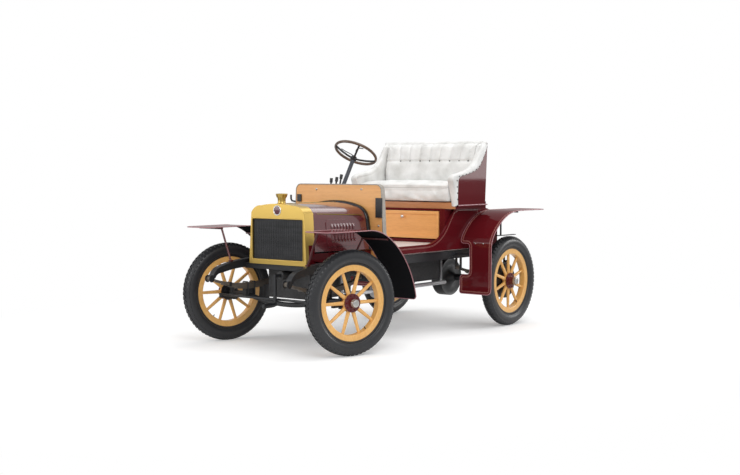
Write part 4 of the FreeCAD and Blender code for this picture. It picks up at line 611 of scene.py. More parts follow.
def lathe(name: str, profile: Sequence[Point2], steps: int, lobes: int = 0, lobe_depth: float = 0.0,
          smooth: bool = True) -> Piece:
    """Turn a profile round the Z axis.

    Args:
        name: its name.
        profile: pairs of height and radius; a closed solid starts and ends on the axis, or is a loop off it.
        steps: parts of the full turn.
        lobes: number of lobes round the edge.
        lobe_depth: share of the radius that a lobe adds.
        smooth: whether it is shaded smooth.

    Returns:
        The object, about the Z axis.
    """
    rings = []
    for step in range(steps):
        angle = tau * step / steps
        swell = 1 + lobe_depth * cos(lobes * angle)
        rings.append([vec(r * swell * cos(angle), r * swell * sin(angle), z) for z, r in profile])
    return lofted(name, rings, closed=True, smooth=smooth)


def across_car(x: float, way: int = -1) -> Placer:
    """Place for a plate that stands across the car at X, with its depth to the rear or, by 1, to the front."""
    return lambda y, z, depth: vec(x + way * depth, y, z)


def plate(name: str, loops: Sequence[Sequence[Point2]], place: Placer, depth: float,
          bevel: float = 0.0, segments: int = 2) -> Piece:
    """Flat plate with holes, mapped to its place in the car.

    Args:
        name: its name.
        loops: the outer outline and the outlines of its holes.
        place: maps two plate coordinates and a depth to a point.
        depth: thickness of the plate.
        bevel: width of the rounded edges.
        segments: parts of the rounded edges.

    Returns:
        The object.
    """
    flat = [point for loop in loops for point in loop]
    triangles = tessellate_polygon([[vec(a, b, 0) for a, b in loop] for loop in loops])
    count = len(flat)
    points = [place(a, b, 0) for a, b in flat] + [place(a, b, depth) for a, b in flat]
    faces: list[Sequence[int]] = [tuple(face) for face in triangles]
    faces += [tuple(index + count for index in reversed(face)) for face in triangles]
    start = 0
    for loop in loops:
        for index in range(len(loop)):
            near, far = start + index, start + (index + 1) % len(loop)
            faces.append((near, far, far + count, near + count))
        start += len(loop)
    piece = mesh_piece(name, points, faces, smooth=False)
    return rounded(piece, bevel, segments) if bevel else piece


def rounded(piece: Piece, width: float, segments: int) -> Piece:
    """Round the sharp edges of a piece for good.

    Args:
        piece: the piece.
        width: width of the rounding.
        segments: parts of the rounding.

    Returns:
        The piece.
    """
    bevel = piece.modifiers.new("rounding", "BEVEL")
    bevel.width = width
    bevel.segments = segments
    bevel.limit_method = "ANGLE"
    bevel.angle_limit = radians(SHARP)
    settle_modifiers(piece)
    smooth_by_angle(piece, SHARP)
    evened = piece.modifiers.new("evened", "WEIGHTED_NORMAL")
    evened.keep_sharp = True
    return settle_modifiers(piece)


def settle_modifiers(piece: Piece) -> Piece:
    """Make what the modifiers show the piece's own mesh.

    Args:
        piece: the piece.

    Returns:
        The piece.
    """
    evaluated = piece.evaluated_get(bpy.context.evaluated_depsgraph_get())
    mesh = bpy.data.meshes.new_from_object(evaluated)
    piece.modifiers.clear()
    piece.data = mesh
    return piece


def smooth_by_angle(piece: Piece, angle: float) -> Piece:
    """Shade a piece smooth apart from edges sharper than an angle in degrees."""
    piece.data.shade_smooth()
    piece.data.set_sharp_from_angle(angle=radians(angle))
    return piece


def subdivided(piece: Piece) -> Piece:
    """Give a soft piece one live level of subdivision, the same in view and render."""
    finer = piece.modifiers.new("finer", "SUBSURF")
    finer.levels = finer.render_levels = 1
    return piece


def settle(piece: Piece, finish: Finish, body: str = "chassis", replaced: Sequence[str] = (),
           place: Matrix | None = None) -> Piece:
    """Finish a piece: its place, material, body and the CAD nodes it stands for.

    Args:
        piece: the piece.
        finish: its finish.
        body: the body that carries it.
        replaced: CAD nodes that it stands for.
        place: matrix that puts its mesh in place, where it isn't there yet.

    Returns:
        The piece.
    """
    if place is not None:
        piece.data.transform(place)
    SHOP.dress(piece, finish)
    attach(piece, body)
    if replaced:
        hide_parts(*replaced)
    LOG.info("%s: %d faces on %s", piece.name, len(piece.data.polygons), body)
    return piece


class GrowthTree(Graph):
    """Geometry Nodes tree with a geometry input, named sizes and a material."""

    def __init__(self, name: str, **sizes: str) -> None:
        """Begin the tree.

        Args:
            name: its name.
            sizes: the kind of each size, by its name.
        """
        super().__init__(bpy.data.node_groups.new(name, "GeometryNodeTree"))
        for label, kind in {"Geometry": "Geometry", **sizes, "Material": "Material"}.items():
            self.tree.interface.new_socket(label, in_out="INPUT", socket_type=f"NodeSocket{kind}")
        self.tree.interface.new_socket("Geometry", in_out="OUTPUT", socket_type="NodeSocketGeometry")
        self.source = self.add("NodeGroupInput").outputs

    def line(self) -> Socket:
        """The bare lines of the piece as a curve."""
        return self.add("GeometryNodeMeshToCurve", {0: self.source["Geometry"]}).outputs[0]

    def end(self, shape: Socket) -> Tree:
        """End with real geometry and its material, and return the tree.

        Args:
            shape: the shape.

        Returns:
            The tree.
        """
        real = self.add("GeometryNodeRealizeInstances", {"Geometry": shape}).outputs[0]
        painted = self.add("GeometryNodeSetMaterial", {"Geometry": real, "Material": self.source["Material"]})
        self.add("NodeGroupOutput", {"Geometry": painted.outputs[0]})
        return self.tree

    def copies(self, points: Socket, shape: Socket, **more: Socket) -> Tree:
        """End with a copy of a shape on each point, and return the tree."""
        placed = self.add("GeometryNodeInstanceOnPoints", {"Points": points, "Instance": shape, **more})
        return self.end(placed.outputs[0])


class Growth:
    """Geometry Nodes trees that repeat a shape or follow a line, each built once."""

    @cached_property
    def ring(self) -> Tree:
        """Tree that repeats a shape in a full ring about the Z axis.

        Returns:
            The tree.
        """
        tree = GrowthTree("repeat_in_ring", Count="Int")
        count = tree.source["Count"]
        share = tree.math("DIVIDE", tree.add("GeometryNodeInputIndex").outputs[0], count)
        angles = tree.add("ShaderNodeCombineXYZ", {"Z": tree.math("MULTIPLY", share, tau)})
        turn = tree.add("FunctionNodeEulerToRotation", {0: angles.outputs[0]})
        points = tree.add("GeometryNodePoints", {"Count": count})
        return tree.copies(points.outputs[0], tree.source["Geometry"], Rotation=turn.outputs[0])

    @cached_property
    def row(self) -> Tree:
        """Tree that repeats a shape in a straight row.

        Returns:
            The tree.
        """
        tree = GrowthTree("repeat_in_row", Count="Int", Step="Vector")
        index = tree.add("GeometryNodeInputIndex").outputs[0]
        shift = tree.add("ShaderNodeVectorMath", {0: tree.source["Step"], "Scale": index}, operation="SCALE")
        points = tree.add("GeometryNodePoints", {"Count": tree.source["Count"], "Position": shift.outputs[0]})
        return tree.copies(points.outputs[0], tree.source["Geometry"])

    @cached_property
    def studs(self) -> Tree:
        """Tree that sets domed heads along a line at a spacing.

        Returns:
            The tree.
        """
        tree = GrowthTree("studs_along_line", Spacing="Float", Radius="Float")
        spaced = tree.add("GeometryNodeResampleCurve", {"Curve": tree.line(), "Length": tree.source["Spacing"]},
                          mode="LENGTH")
        head = tree.add("GeometryNodeMeshIcoSphere", {"Subdivisions": 2, "Radius": tree.source["Radius"]})
        return tree.copies(spaced.outputs[0], head.outputs[0])

    @cached_property
    def bar(self) -> Tree:
        """Tree that runs a round bar along a line.

        Returns:
            The tree.
        """
        tree = GrowthTree("bar_along_line", Radius="Float", Facets="Int")
        ring = tree.add("GeometryNodeCurvePrimitiveCircle",
                        {"Resolution": tree.source["Facets"], "Radius": tree.source["Radius"]})
        bar = tree.add("GeometryNodeCurveToMesh",
                       {"Curve": tree.line(), "Profile Curve": ring.outputs[0], "Fill Caps": True})
        return tree.end(bar.outputs[0])

    def grow(self, piece: Piece, tree: Tree, finish: Finish,
             smooth: bool = True, **sizes: object) -> Piece:
        """Run a tree on a piece and keep the result as its plain mesh.

        Args:
            piece: the piece that the tree starts from.
            tree: the tree.
            finish: the finish of the grown shape.
            smooth: whether it is shaded smooth.
            sizes: values of the tree's named inputs.

        Returns:
            The piece.
        """
        modifier = piece.modifiers.new("growth", "NODES")
        modifier.node_group = tree
        values = {**sizes, "Material": SHOP.material(finish)}
        for item in tree.interface.items_tree:
            if item.item_type == "SOCKET" and item.in_out == "INPUT" and item.name in values:
                modifier[item.identifier] = values[item.name]
        settle_modifiers(piece)
        return clean(piece, smooth)


GROWTH = Growth()


def line_piece(name: str, lines: Lines, closed: bool = False) -> Piece:
    """Object of bare lines, for a tree to follow.

    Args:
        name: its name.
        lines: points of each line.
        closed: whether each line returns to its first point.

    Returns:
        The object.
    """
    points: list[tuple[float, ...]] = []
    edges: list[tuple[int, int]] = []
    for line in lines:
        start = len(points)
        points += [tuple(point) for point in line]
        edges += [(start + index, start + index + 1) for index in range(len(line) - 1)]
        if closed:
            edges.append((start + len(line) - 1, start))
    mesh = bpy.data.meshes.new(name)
    mesh.from_pydata(points, edges, [])
    return linked(name, mesh)


def bars(name: str, lines: Lines, radius: float, finish: Finish, facets: int = 8,
         closed: bool = False, **rest: object) -> Piece:
    """Settle round bars of a radius along lines, which may be loops, with the body and place that settle takes."""
    bare = line_piece(name, lines, closed)
    return settle(GROWTH.grow(bare, GROWTH.bar, finish, Radius=radius, Facets=facets), finish, **rest)


def nails(name: str, lines: Lines, spacing: float, radius: float, finish: Finish) -> Piece:
    """Settle domed heads of a radius along lines, at a spacing."""
    bare = line_piece(name, lines)
    return settle(GROWTH.grow(bare, GROWTH.studs, finish, Spacing=spacing, Radius=radius), finish)


def ribbons(name: str, lines: Sequence[Sequence[Sequence[Vector]]], width: float, thickness: float) -> Piece:
    """Flat strips that lie on a surface.

    Args:
        name: its name.
        lines: for each strip its points, each with the direction across it and the one out of the surface.
        width: width of the strips.
        thickness: height above the surface.

    Returns:
        The object.
    """
    points: list[Vector] = []
    faces: list[Sequence[int]] = []
    for line in lines:
        start = len(points)
        for spot, across, out in line:
            for side, lift in ((-0.5, -0.3), (0.5, -0.3), (0.5, 1.0), (-0.5, 1.0)):
                points.append(spot + across * (side * width) + out * (lift * thickness))
        for index in range(len(line) - 1):
            low = start + 4 * index
            for side in range(4):
                near, far = low + side, low + (side + 1) % 4
                faces.append((near, far, far + 4, near + 4))
        faces.append((start + 3, start + 2, start + 1, start))
        last = start + 4 * (len(line) - 1)
        faces.append((last, last + 1, last + 2, last + 3))
    return mesh_piece(name, points, faces, smooth=False)


def forward_at(x: float, y: float, z: float) -> Matrix:
    """Matrix that stands a turned piece at a place, with its Z axis pointing forward."""
    return Matrix.Translation((x, y, z)) @ Matrix.Rotation(radians(90), 4, "Y")


def mirrored(point: Vector, sign: int) -> Vector:
    """A point of the car's left side, or its image on the right."""
    return vec(point.x, sign * point.y, point.z)


def joined(name: str, pieces: Sequence[Piece]) -> Piece:
    """Join pieces into one object.

    Args:
        name: its name.
        pieces: the pieces, with no materials that matter.

    Returns:
        The joined object.
    """
    work = bmesh.new()
    for piece in pieces:
        work.from_mesh(piece.data)
        bpy.data.objects.remove(piece)
    mesh = bpy.data.meshes.new(name)
    work.to_mesh(mesh)
    work.free()
    return linked(name, mesh)


def heads(name: str, profile: Sequence[Point2], steps: int, places: Sequence[Corner], finish: Finish) -> Piece:
    """Settle turned heads that point forward, as one piece.

    Args:
        name: its name.
        profile: profile of a head, as lathe takes it.
        steps: parts round a head.
        places: where the heads stand.
        finish: their finish.

    Returns:
        The piece.
    """
    parts = [lathe("head", profile, steps) for _ in places]
    for part, place in zip(parts, places):
        part.data.transform(forward_at(*place))
    return settle(joined(name, parts), finish)


# Studio


@dataclass
class Studio:
    """Camera, soft lights, white floor and white surroundings."""

    camera_place: Vector = field(default_factory=lambda: vec(6.9948, 5.4233, 1.2285))
    yaw: float = -142.06
    pitch: float = -3.34
    lens: float = 57.535
    aim_height: float = 0.6
    floor_reach: float = 40.0
    shade_shape: Color = (0.75, 1.0, 0.0)
    shade_reach: float = 1.6
    white_reach: float = 3.2
    floor_glow: float = 0.22
    far_floor: float = 0.38
    plain_world: float = 0.55
    glossy_world: float = 0.1

    def build(self) -> None:
        """Set up the whole studio."""
        bpy.context.scene.view_settings.view_transform = "Standard"
        self._camera()
        self._lamp("key_light", vec(3.6, 4.2, 4.0), 3.2, 128.0)
        self._lamp("fill_light", vec(4.7, -3.0, 2.3), 3.0, 72.0)
        self._lamp("top_light", vec(-1.0, 0.5, 5.0), 4.5, 112.0)
        self._lamp("side_light", vec(-5.05, 3.35, 1.9), 1.6, 54.0, level=True)
        self._world()
        self._floor()

    def _camera(self) -> None:
        """Stand the camera where the picture was taken from."""
        data = bpy.data.cameras.new("camera")
        data.lens = self.lens
        data.sensor_width = 36.0
        data.sensor_fit = "HORIZONTAL"
        yaw, pitch = radians(self.yaw), radians(self.pitch)
        view = vec(cos(pitch) * cos(yaw), cos(pitch) * sin(yaw), sin(pitch))
        bpy.context.scene.camera = self._stand("camera", data, self.camera_place, view)

    @staticmethod
    def _stand(name: str, data: bpy.types.ID, place: Vector, aim: Vector) -> Piece:
        """Stand a camera or lamp at a place.

        Args:
            name: its name.
            data: the camera or lamp.
            place: where it stands.
            aim: the direction that it looks.

        Returns:
            The object, in the scene.
        """
        item = linked(name, data)
        item.matrix_world = Matrix.Translation(place) @ aim.to_track_quat("-Z", "Y").to_matrix().to_4x4()
        return item

    def _lamp(self, name: str, place: Vector, width: float, power: float, level: bool = False) -> None:
        """Hang one soft square lamp that looks at the car and can't be seen itself.

        Args:
            name: the lamp's name.
            place: where it hangs.
            width: its side.
            power: its power.
            level: whether it stands upright.
        """
        data = bpy.data.lights.new(name, "AREA")
        data.size = width
        data.energy = power
        aim = vec(0.0, 0.0, place.z if level else self.aim_height) - place
        self._stand(name, data, place, aim).visible_camera = False

    def _world(self) -> None:
        """White surroundings for the eye, softer as a source of light and in reflections."""
        world = bpy.data.worlds.new("surroundings")
        world.use_nodes = True
        graph = Graph(world.node_tree)
        rays = graph.add("ShaderNodeLightPath").outputs
        seen = graph.math("MAXIMUM", rays["Is Camera Ray"], rays["Is Transmission Ray"])
        soft = graph.math("MULTIPLY_ADD", rays["Is Glossy Ray"], self.glossy_world, self.plain_world)
        strength = graph.math("MULTIPLY_ADD", seen, 1.0 - self.plain_world, soft)
        graph.feed(graph.found("BACKGROUND"), {"Color": (1.0, 1.0, 1.0, 1.0), "Strength": strength})
        bpy.context.scene.world = world

    def _floor(self) -> None:
        """Floor that takes the car's shadow and turns pure white away from it."""
        reach = self.floor_reach
        corners = [vec(x * reach, y * reach, 0.0) for x, y in ((-1, -1), (1, -1), (1, 1), (-1, 1))]
        ground = mesh_piece("studio_floor", corners, [(0, 1, 2, 3)], smooth=False)
        material = bpy.data.materials.new("studio_floor")
        material.use_nodes = True
        graph = Graph(material.node_tree)
        seen = graph.add("ShaderNodeLightPath").outputs["Is Camera Ray"]
        shader = graph.feed(graph.found("BSDF_PRINCIPLED"), {
            "Base Color": (0.9, 0.9, 0.9, 1.0), "Roughness": 0.9, "Specular IOR Level": 0.0,
            "Emission Color": (1.0, 1.0, 1.0, 1.0),
            "Emission Strength": graph.math("MULTIPLY", seen, self.floor_glow),
        })
        strength = graph.math("MULTIPLY_ADD", seen, 1.0 - self.far_floor, self.far_floor)
        white = graph.add("ShaderNodeEmission", {"Strength": strength})
        place = graph.add("ShaderNodeTexCoord").outputs["Object"]
        oval = graph.add("ShaderNodeVectorMath", {0: place, 1: self.shade_shape}, operation="MULTIPLY").outputs[0]
        away = graph.add("ShaderNodeVectorMath", {0: oval}, operation="LENGTH").outputs["Value"]
        span = {"Value": away, "From Min": self.shade_reach, "From Max": self.white_reach}
        fade = graph.add("ShaderNodeMapRange", span, interpolation_type="SMOOTHSTEP")
        mix = graph.add("ShaderNodeMixShader", {0: fade.outputs[0], 1: shader.outputs[0], 2: white.outputs[0]})
        graph.feed(graph.found("OUTPUT_MATERIAL"), {"Surface": mix.outputs[0]})
        ground.data.materials.append(material)


# Road wheels


@dataclass
class RoadWheel:
    """Dressing of one road wheel, built about the Z axis with its outer face up."""

    corner: str
    centre: Vector
    outward: Vector
    reach: float
    tyre_profile: tuple[Point2, ...] = (
        (0.0, 0.2636), (0.026, 0.2636), (0.0335, 0.2665), (0.0375, 0.2705), (0.0368, 0.2745), (0.0405, 0.2785),
        (0.0445, 0.288), (0.0465, 0.3), (0.0455, 0.314), (0.0415, 0.3275), (0.0355, 0.336), (0.026, 0.3405),
        (0.014, 0.343), (0.0, 0.344),
    )
    lug_count: int = 64
    tyre_steps: int = 128
    bolt_circle: float = 0.049
    bolt_count: int = 10
    flange_face: float = 0.0223
    hub_split: float = 0.018
    valve_angle: float = -58.0

    @property
    def body(self) -> str:
        """Name of the body that carries the wheel."""
        return f"wheel_{self.corner}"

    def _keep(self, piece: Piece, finish: Finish, replaced: Sequence[str] = ()) -> None:
        """Settle a piece of the wheel, which may stand for CAD nodes."""
        settle(piece, finish, self.body, replaced, self.place())

    def place(self) -> Matrix:
        """Matrix that puts the wheel's own axes in the car.

        Returns:
            The matrix.
        """
        up = vec(0, 0, 1)
        fore = up.cross(self.outward)
        turn = Matrix((fore, up, self.outward)).transposed().to_4x4()
        return Matrix.Translation(self.centre) @ turn

    def build(self) -> None:
        """Build the tyre, its tread, the cap, the bolts and the valve, and paint the hub."""
        inside = self.centre.dot(self.outward) - self.hub_split
        paint = replace(HUB_PAINT, name=f"hub_paint_{self.corner}", outside=tuple(self.outward), split=inside)
        SHOP.dress(frame["nodes"][f"hub_{self.corner}"], paint)
        self._tyre()
        self._tread()
        self._cap()
        self._bolts()
        self._valve()

    def _tyre(self) -> None:
        """Tyre with a bead step and a round crown."""
        half = list(self.tyre_profile)
        loop = half + [(-z, r) for z, r in reversed(half[1:-1])]
        piece = lathe(f"tyre_body_{self.corner}", loop, self.tyre_steps)
        self._keep(piece, RUBBER, [f"tyre_{self.corner}"])

    @staticmethod
    def _lug(inner: Corner, outer: Corner, slant: float) -> Piece:
        """One block of the tread.

        Args:
            inner: height, radius and half width at one end.
            outer: height, radius and half width at the other end.
            slant: how far the outer end is shifted round the wheel.

        Returns:
            The block.
        """
        points = []
        for (z, r, half), shift in ((inner, 0.0), (outer, slant)):
            for sink, narrow in ((0.009, 1.25), (0.0, 1.0)):
                for side in (-1, 1):
                    points.append(vec(r - sink, shift + side * half * narrow, z))
        faces = [(0, 1, 3, 2), (4, 6, 7, 5), (0, 4, 5, 1), (2, 3, 7, 6), (0, 2, 6, 4), (1, 5, 7, 3)]
        return mesh_piece("lug", points, faces, smooth=False)

    def _tread(self) -> None:
        """Shoulder blocks on both edges and two rows of small blocks between them."""
        blocks = [self._lug((way * 0.019, 0.348, 0.0088), (way * 0.0425, 0.3312, 0.0105), 0.008) for way in (1, -1)]
        blocks += [self._lug((way * 0.002, 0.35, 0.0085), (way * 0.0145, 0.3492, 0.0085), -0.008) for way in (1, -1)]
        step = tau / self.lug_count / 2
        for block in blocks[2:]:
            block.data.transform(Matrix.Rotation(step, 4, "Z"))
        base = joined(f"tyre_tread_{self.corner}", blocks)
        self._keep(GROWTH.grow(base, GROWTH.ring, RUBBER, smooth=False, Count=self.lug_count), RUBBER)

    def _cap(self) -> None:
        """Plated hub cap with a domed face."""
        reach = self.reach
        profile = [(reach - 0.022, 0.0), (reach - 0.022, 0.0285), (reach - 0.005, 0.0285), (reach - 0.0005, 0.0265),
                   (reach + 0.0015, 0.021), (reach + 0.0015, 0.0185), (reach + 0.003, 0.017), (reach + 0.004, 0.0)]
        self._keep(smooth_by_angle(lathe(f"hub_cap_{self.corner}", profile, 40), 30), SILVER)

    def _bolts(self) -> None:
        """Ring of flange bolts through the spokes' feet."""
        profile = [(0.0, 0.0), (0.0, 0.0052), (0.0038, 0.0048), (0.0045, 0.0)]
        nut = lathe(f"hub_bolts_{self.corner}", profile, 6, smooth=False)
        nut.data.transform(Matrix.Translation((self.bolt_circle, 0, self.flange_face - 0.0006)))
        self._keep(GROWTH.grow(nut, GROWTH.ring, BURGUNDY, smooth=False, Count=self.bolt_count), BURGUNDY)

    def _valve(self) -> None:
        """Valve stem that points from the rim to the hub."""
        angle = radians(self.valve_angle)
        spots = [vec(r * cos(angle), r * sin(angle), 0.012) for r in (0.216, 0.205, 0.192)]
        bars(f"valve_stem_{self.corner}", [spots], 0.0036, BLACK_IRON, body=self.body, place=self.place())


def road_wheels() -> list[RoadWheel]:
    """The four wheels at their parked places.

    Returns:
        The wheels.
    """
    swing = vec(KINGPIN_INSET * sin(PARKED_STEER), KINGPIN_INSET * cos(PARKED_STEER), 0)
    pin = vec(FRONT_AXLE, KINGPIN, HUB_LINE)
    other = vec(FRONT_AXLE, -KINGPIN, HUB_LINE)
    return [
        RoadWheel("front_left", pin + swing, swing.normalized(), 0.061),
        RoadWheel("front_right", other - swing, -swing.normalized(), 0.061),
        RoadWheel("rear_left", vec(REAR_AXLE, 0.585, HUB_LINE), vec(0, 1, 0), 0.077),
        RoadWheel("rear_right", vec(REAR_AXLE, -0.585, HUB_LINE), vec(0, -1, 0), 0.077),
    ]


# Radiator


@dataclass
class Radiator:
    """Brass radiator with its filler, blank badge and finned core."""

    face: float = 1.0625
    back: float = 0.9685
    rim_depth: float = 0.03
    bottom: float = 0.575
    flange_bottom: float = 0.714
    bottom_half: float = 0.262
    shoulder_half: float = 0.241
    shoulder: float = 0.926
    crown_half: float = 0.15
    crown: float = 0.977
    top: float = 0.99
    corner: float = 0.095
    core_half: float = 0.2285
    core_low: float = 0.609
    core_high: float = 0.8855
    fin_pitch: float = 0.0072
    tube_pitch: float = 0.0155

    def build(self) -> None:
        """Build every piece of the radiator."""
        self._shell()
        self._filler()
        self._badge()
        self._fins()

    def _arch(self, low: float) -> list[Point2]:
        """Outline of the arch above a height, from its right foot round to its left foot.

        Args:
            low: height of the feet.

        Returns:
            The points (y, z).
        """
        lean = (self.bottom_half - self.shoulder_half) / (self.shoulder - self.bottom)
        foot = self.bottom_half - (low - self.bottom) * lean
        rise = self.top - self.crown
        roof = (self.crown_half ** 2 + rise ** 2) / (2 * rise)
        corners = [
            (foot, low), (self.shoulder_half, self.shoulder, self.corner), (self.crown_half, self.crown, roof),
            (-self.crown_half, self.crown, self.corner), (-self.shoulder_half, self.shoulder), (-foot, low),
        ]
        return outline(corners, closed=False, steps=16)

    def _opening(self, grow: float = 0.0) -> list[Point2]:
        """Outline of the core's opening with small round corners.

        Args:
            grow: how much larger it is.

        Returns:
            Its points.
        """
        half, low, high, r = self.core_half + grow, self.core_low - grow, self.core_high + grow, 0.008
        return outline([
            (-half + r, low), (half - r, low, r), (half, low + r), (half, high - r, r), (half - r, high),
            (-half + r, high, r), (-half, high - r), (-half, low + r, r),
        ], steps=4)

    def _shell(self) -> None:
        """Front rim with the core's opening, and the deeper housing above the flange."""
        loops = [self._arch(self.bottom), self._opening()]
        rim = plate("radiator_rim", loops, across_car(self.face), self.rim_depth, 0.0065, 3)
        settle(rim, BRASS, replaced=["radiator_shell"])
        inner = self.core_half + 0.001
        low, high = self.flange_bottom, self.core_high
        hood = self._arch(low) + [(-inner, low), (-inner, high), (inner, high), (inner, low)]
        shrunk = [(y * 0.9992, self.bottom + (z - self.bottom) * 0.9996) for y, z in hood]
        front = self.face - 0.0085
        settle(plate("radiator_housing", [shrunk], across_car(front), front - self.back, 0.0015), BRASS)
        lip = [vec(self.face - 0.0005, y, z) for y, z in self._opening(0.0035)]
        bars("radiator_core_bead", [lip], 0.0032, BRASS, closed=True)

    def _filler(self) -> None:
        """Turned neck and a lobed filler cap."""
        neck = [(0.984, 0.0), (0.984, 0.036), (0.9895, 0.035), (0.993, 0.029), (1.002, 0.0265), (1.02, 0.0275),
                (1.03, 0.03), (1.036, 0.0305), (1.036, 0.0)]
        stem = lathe("filler_neck_turned", neck, 40)
        cap = [(1.032, 0.0), (1.032, 0.0325), (1.038, 0.034), (1.046, 0.0365), (1.0535, 0.0385), (1.0575, 0.0365),
               (1.0585, 0.024), (1.0562, 0.017), (1.059, 0.01), (1.0595, 0.0)]
        head = lathe("filler_cap_lobed", cap, 64, lobes=8, lobe_depth=0.055)
        place = Matrix.Translation((self.face - 0.047, 0, 0))
        for piece in (stem, head):
            settle(smooth_by_angle(piece, 38), BRASS, place=place)

    def _badge(self) -> None:
        """Blank round boss: a plated ring with an enamelled face."""
        place = forward_at(self.face, 0, 0.945)
        ring = [(-0.004, 0.027), (-0.004, 0.0355), (0.001, 0.0355), (0.0035, 0.0335), (0.0035, 0.0295), (0.001, 0.027)]
        settle(smooth_by_angle(lathe("badge_ring", ring, 48), 30), SILVER, place=place)
        dome = [(-0.003, 0.0), (-0.003, 0.0285), (0.0008, 0.0285), (0.0022, 0.019), (0.0027, 0.0)]
        settle(smooth_by_angle(lathe("badge_face", dome, 40), 30), ENAMEL, place=place)

    def _fins(self) -> None:
        """Rows of wavy fins over upright tubes."""
        width = 2 * self.core_half - 0.004
        front = self.face - 0.0075
        parts = 92
        rings = []
        for step in range(parts + 1):
            y = -width / 2 + width * step / parts
            wave = 0.0011 * sin(tau * step / 4) + 0.0006 * sin(tau * step / 23)
            rings.append([vec(front - deep, y, wave + rise) for deep, rise in
                          ((0.01, -0.0006), (0.0, -0.0006), (0.0, 0.0006), (0.01, 0.0006))])
        fin = lofted("radiator_fins", rings, smooth=False)
        fin.data.transform(Matrix.Translation((0, 0, self.core_low + 0.004)))
        count = int((self.core_high - self.core_low - 0.006) / self.fin_pitch)
        step = (0, 0, self.fin_pitch)
        settle(GROWTH.grow(fin, GROWTH.row, CORE_BLACK, smooth=False, Count=count, Step=step), CORE_BLACK)
        height = self.core_high - self.core_low - 0.002
        loop = [(-0.001, 0), (0.001, 0), (0.001, height), (-0.001, height)]
        y0, z0 = -width / 2 + 0.008, self.core_low + 0.001
        pipe = plate("radiator_tubes", [loop], lambda y, z, d: vec(self.face - 0.0105 - d, y0 + y, z0 + z), 0.006)
        count, step = int((width - 0.012) / self.tube_pitch) + 1, (0, self.tube_pitch, 0)
        settle(GROWTH.grow(pipe, GROWTH.row, CORE_BLACK, smooth=False, Count=count, Step=step), CORE_BLACK)


# Bonnet


@dataclass
class Section:
    """One end of a bonnet half: crown, shoulder and side, in the plane across the car."""

    x: float
    crown_radius: float
    crown_angle: float
    shoulder_radius: float
    shoulder_angle: float
    side: float
    start: Point2 = (0.0166, 0.99)

    def along(self, angle: float) -> Point2:
        """Point (y, z) of the crown or the shoulder at a heading in degrees below level.

        Args:
            angle: the heading.

        Returns:
            The point.
        """
        y, z = self.start
        first, turn = radians(min(angle, self.crown_angle)), radians(angle)
        y += self.crown_radius * sin(first)
        z -= self.crown_radius * (1 - cos(first))
        if angle > self.crown_angle:
            y += self.shoulder_radius * (sin(turn) - sin(first))
            z -= self.shoulder_radius * (cos(first) - cos(turn))
        return y, z

    def sheet(self) -> tuple[Point2, Point2]:
        """Upper and lower end of the side, as (y, z)."""
        angle = self.crown_angle + self.shoulder_angle
        y, z = self.along(angle)
        return (y, z), (y + self.side * cos(radians(angle)), z - self.side * sin(radians(angle)))


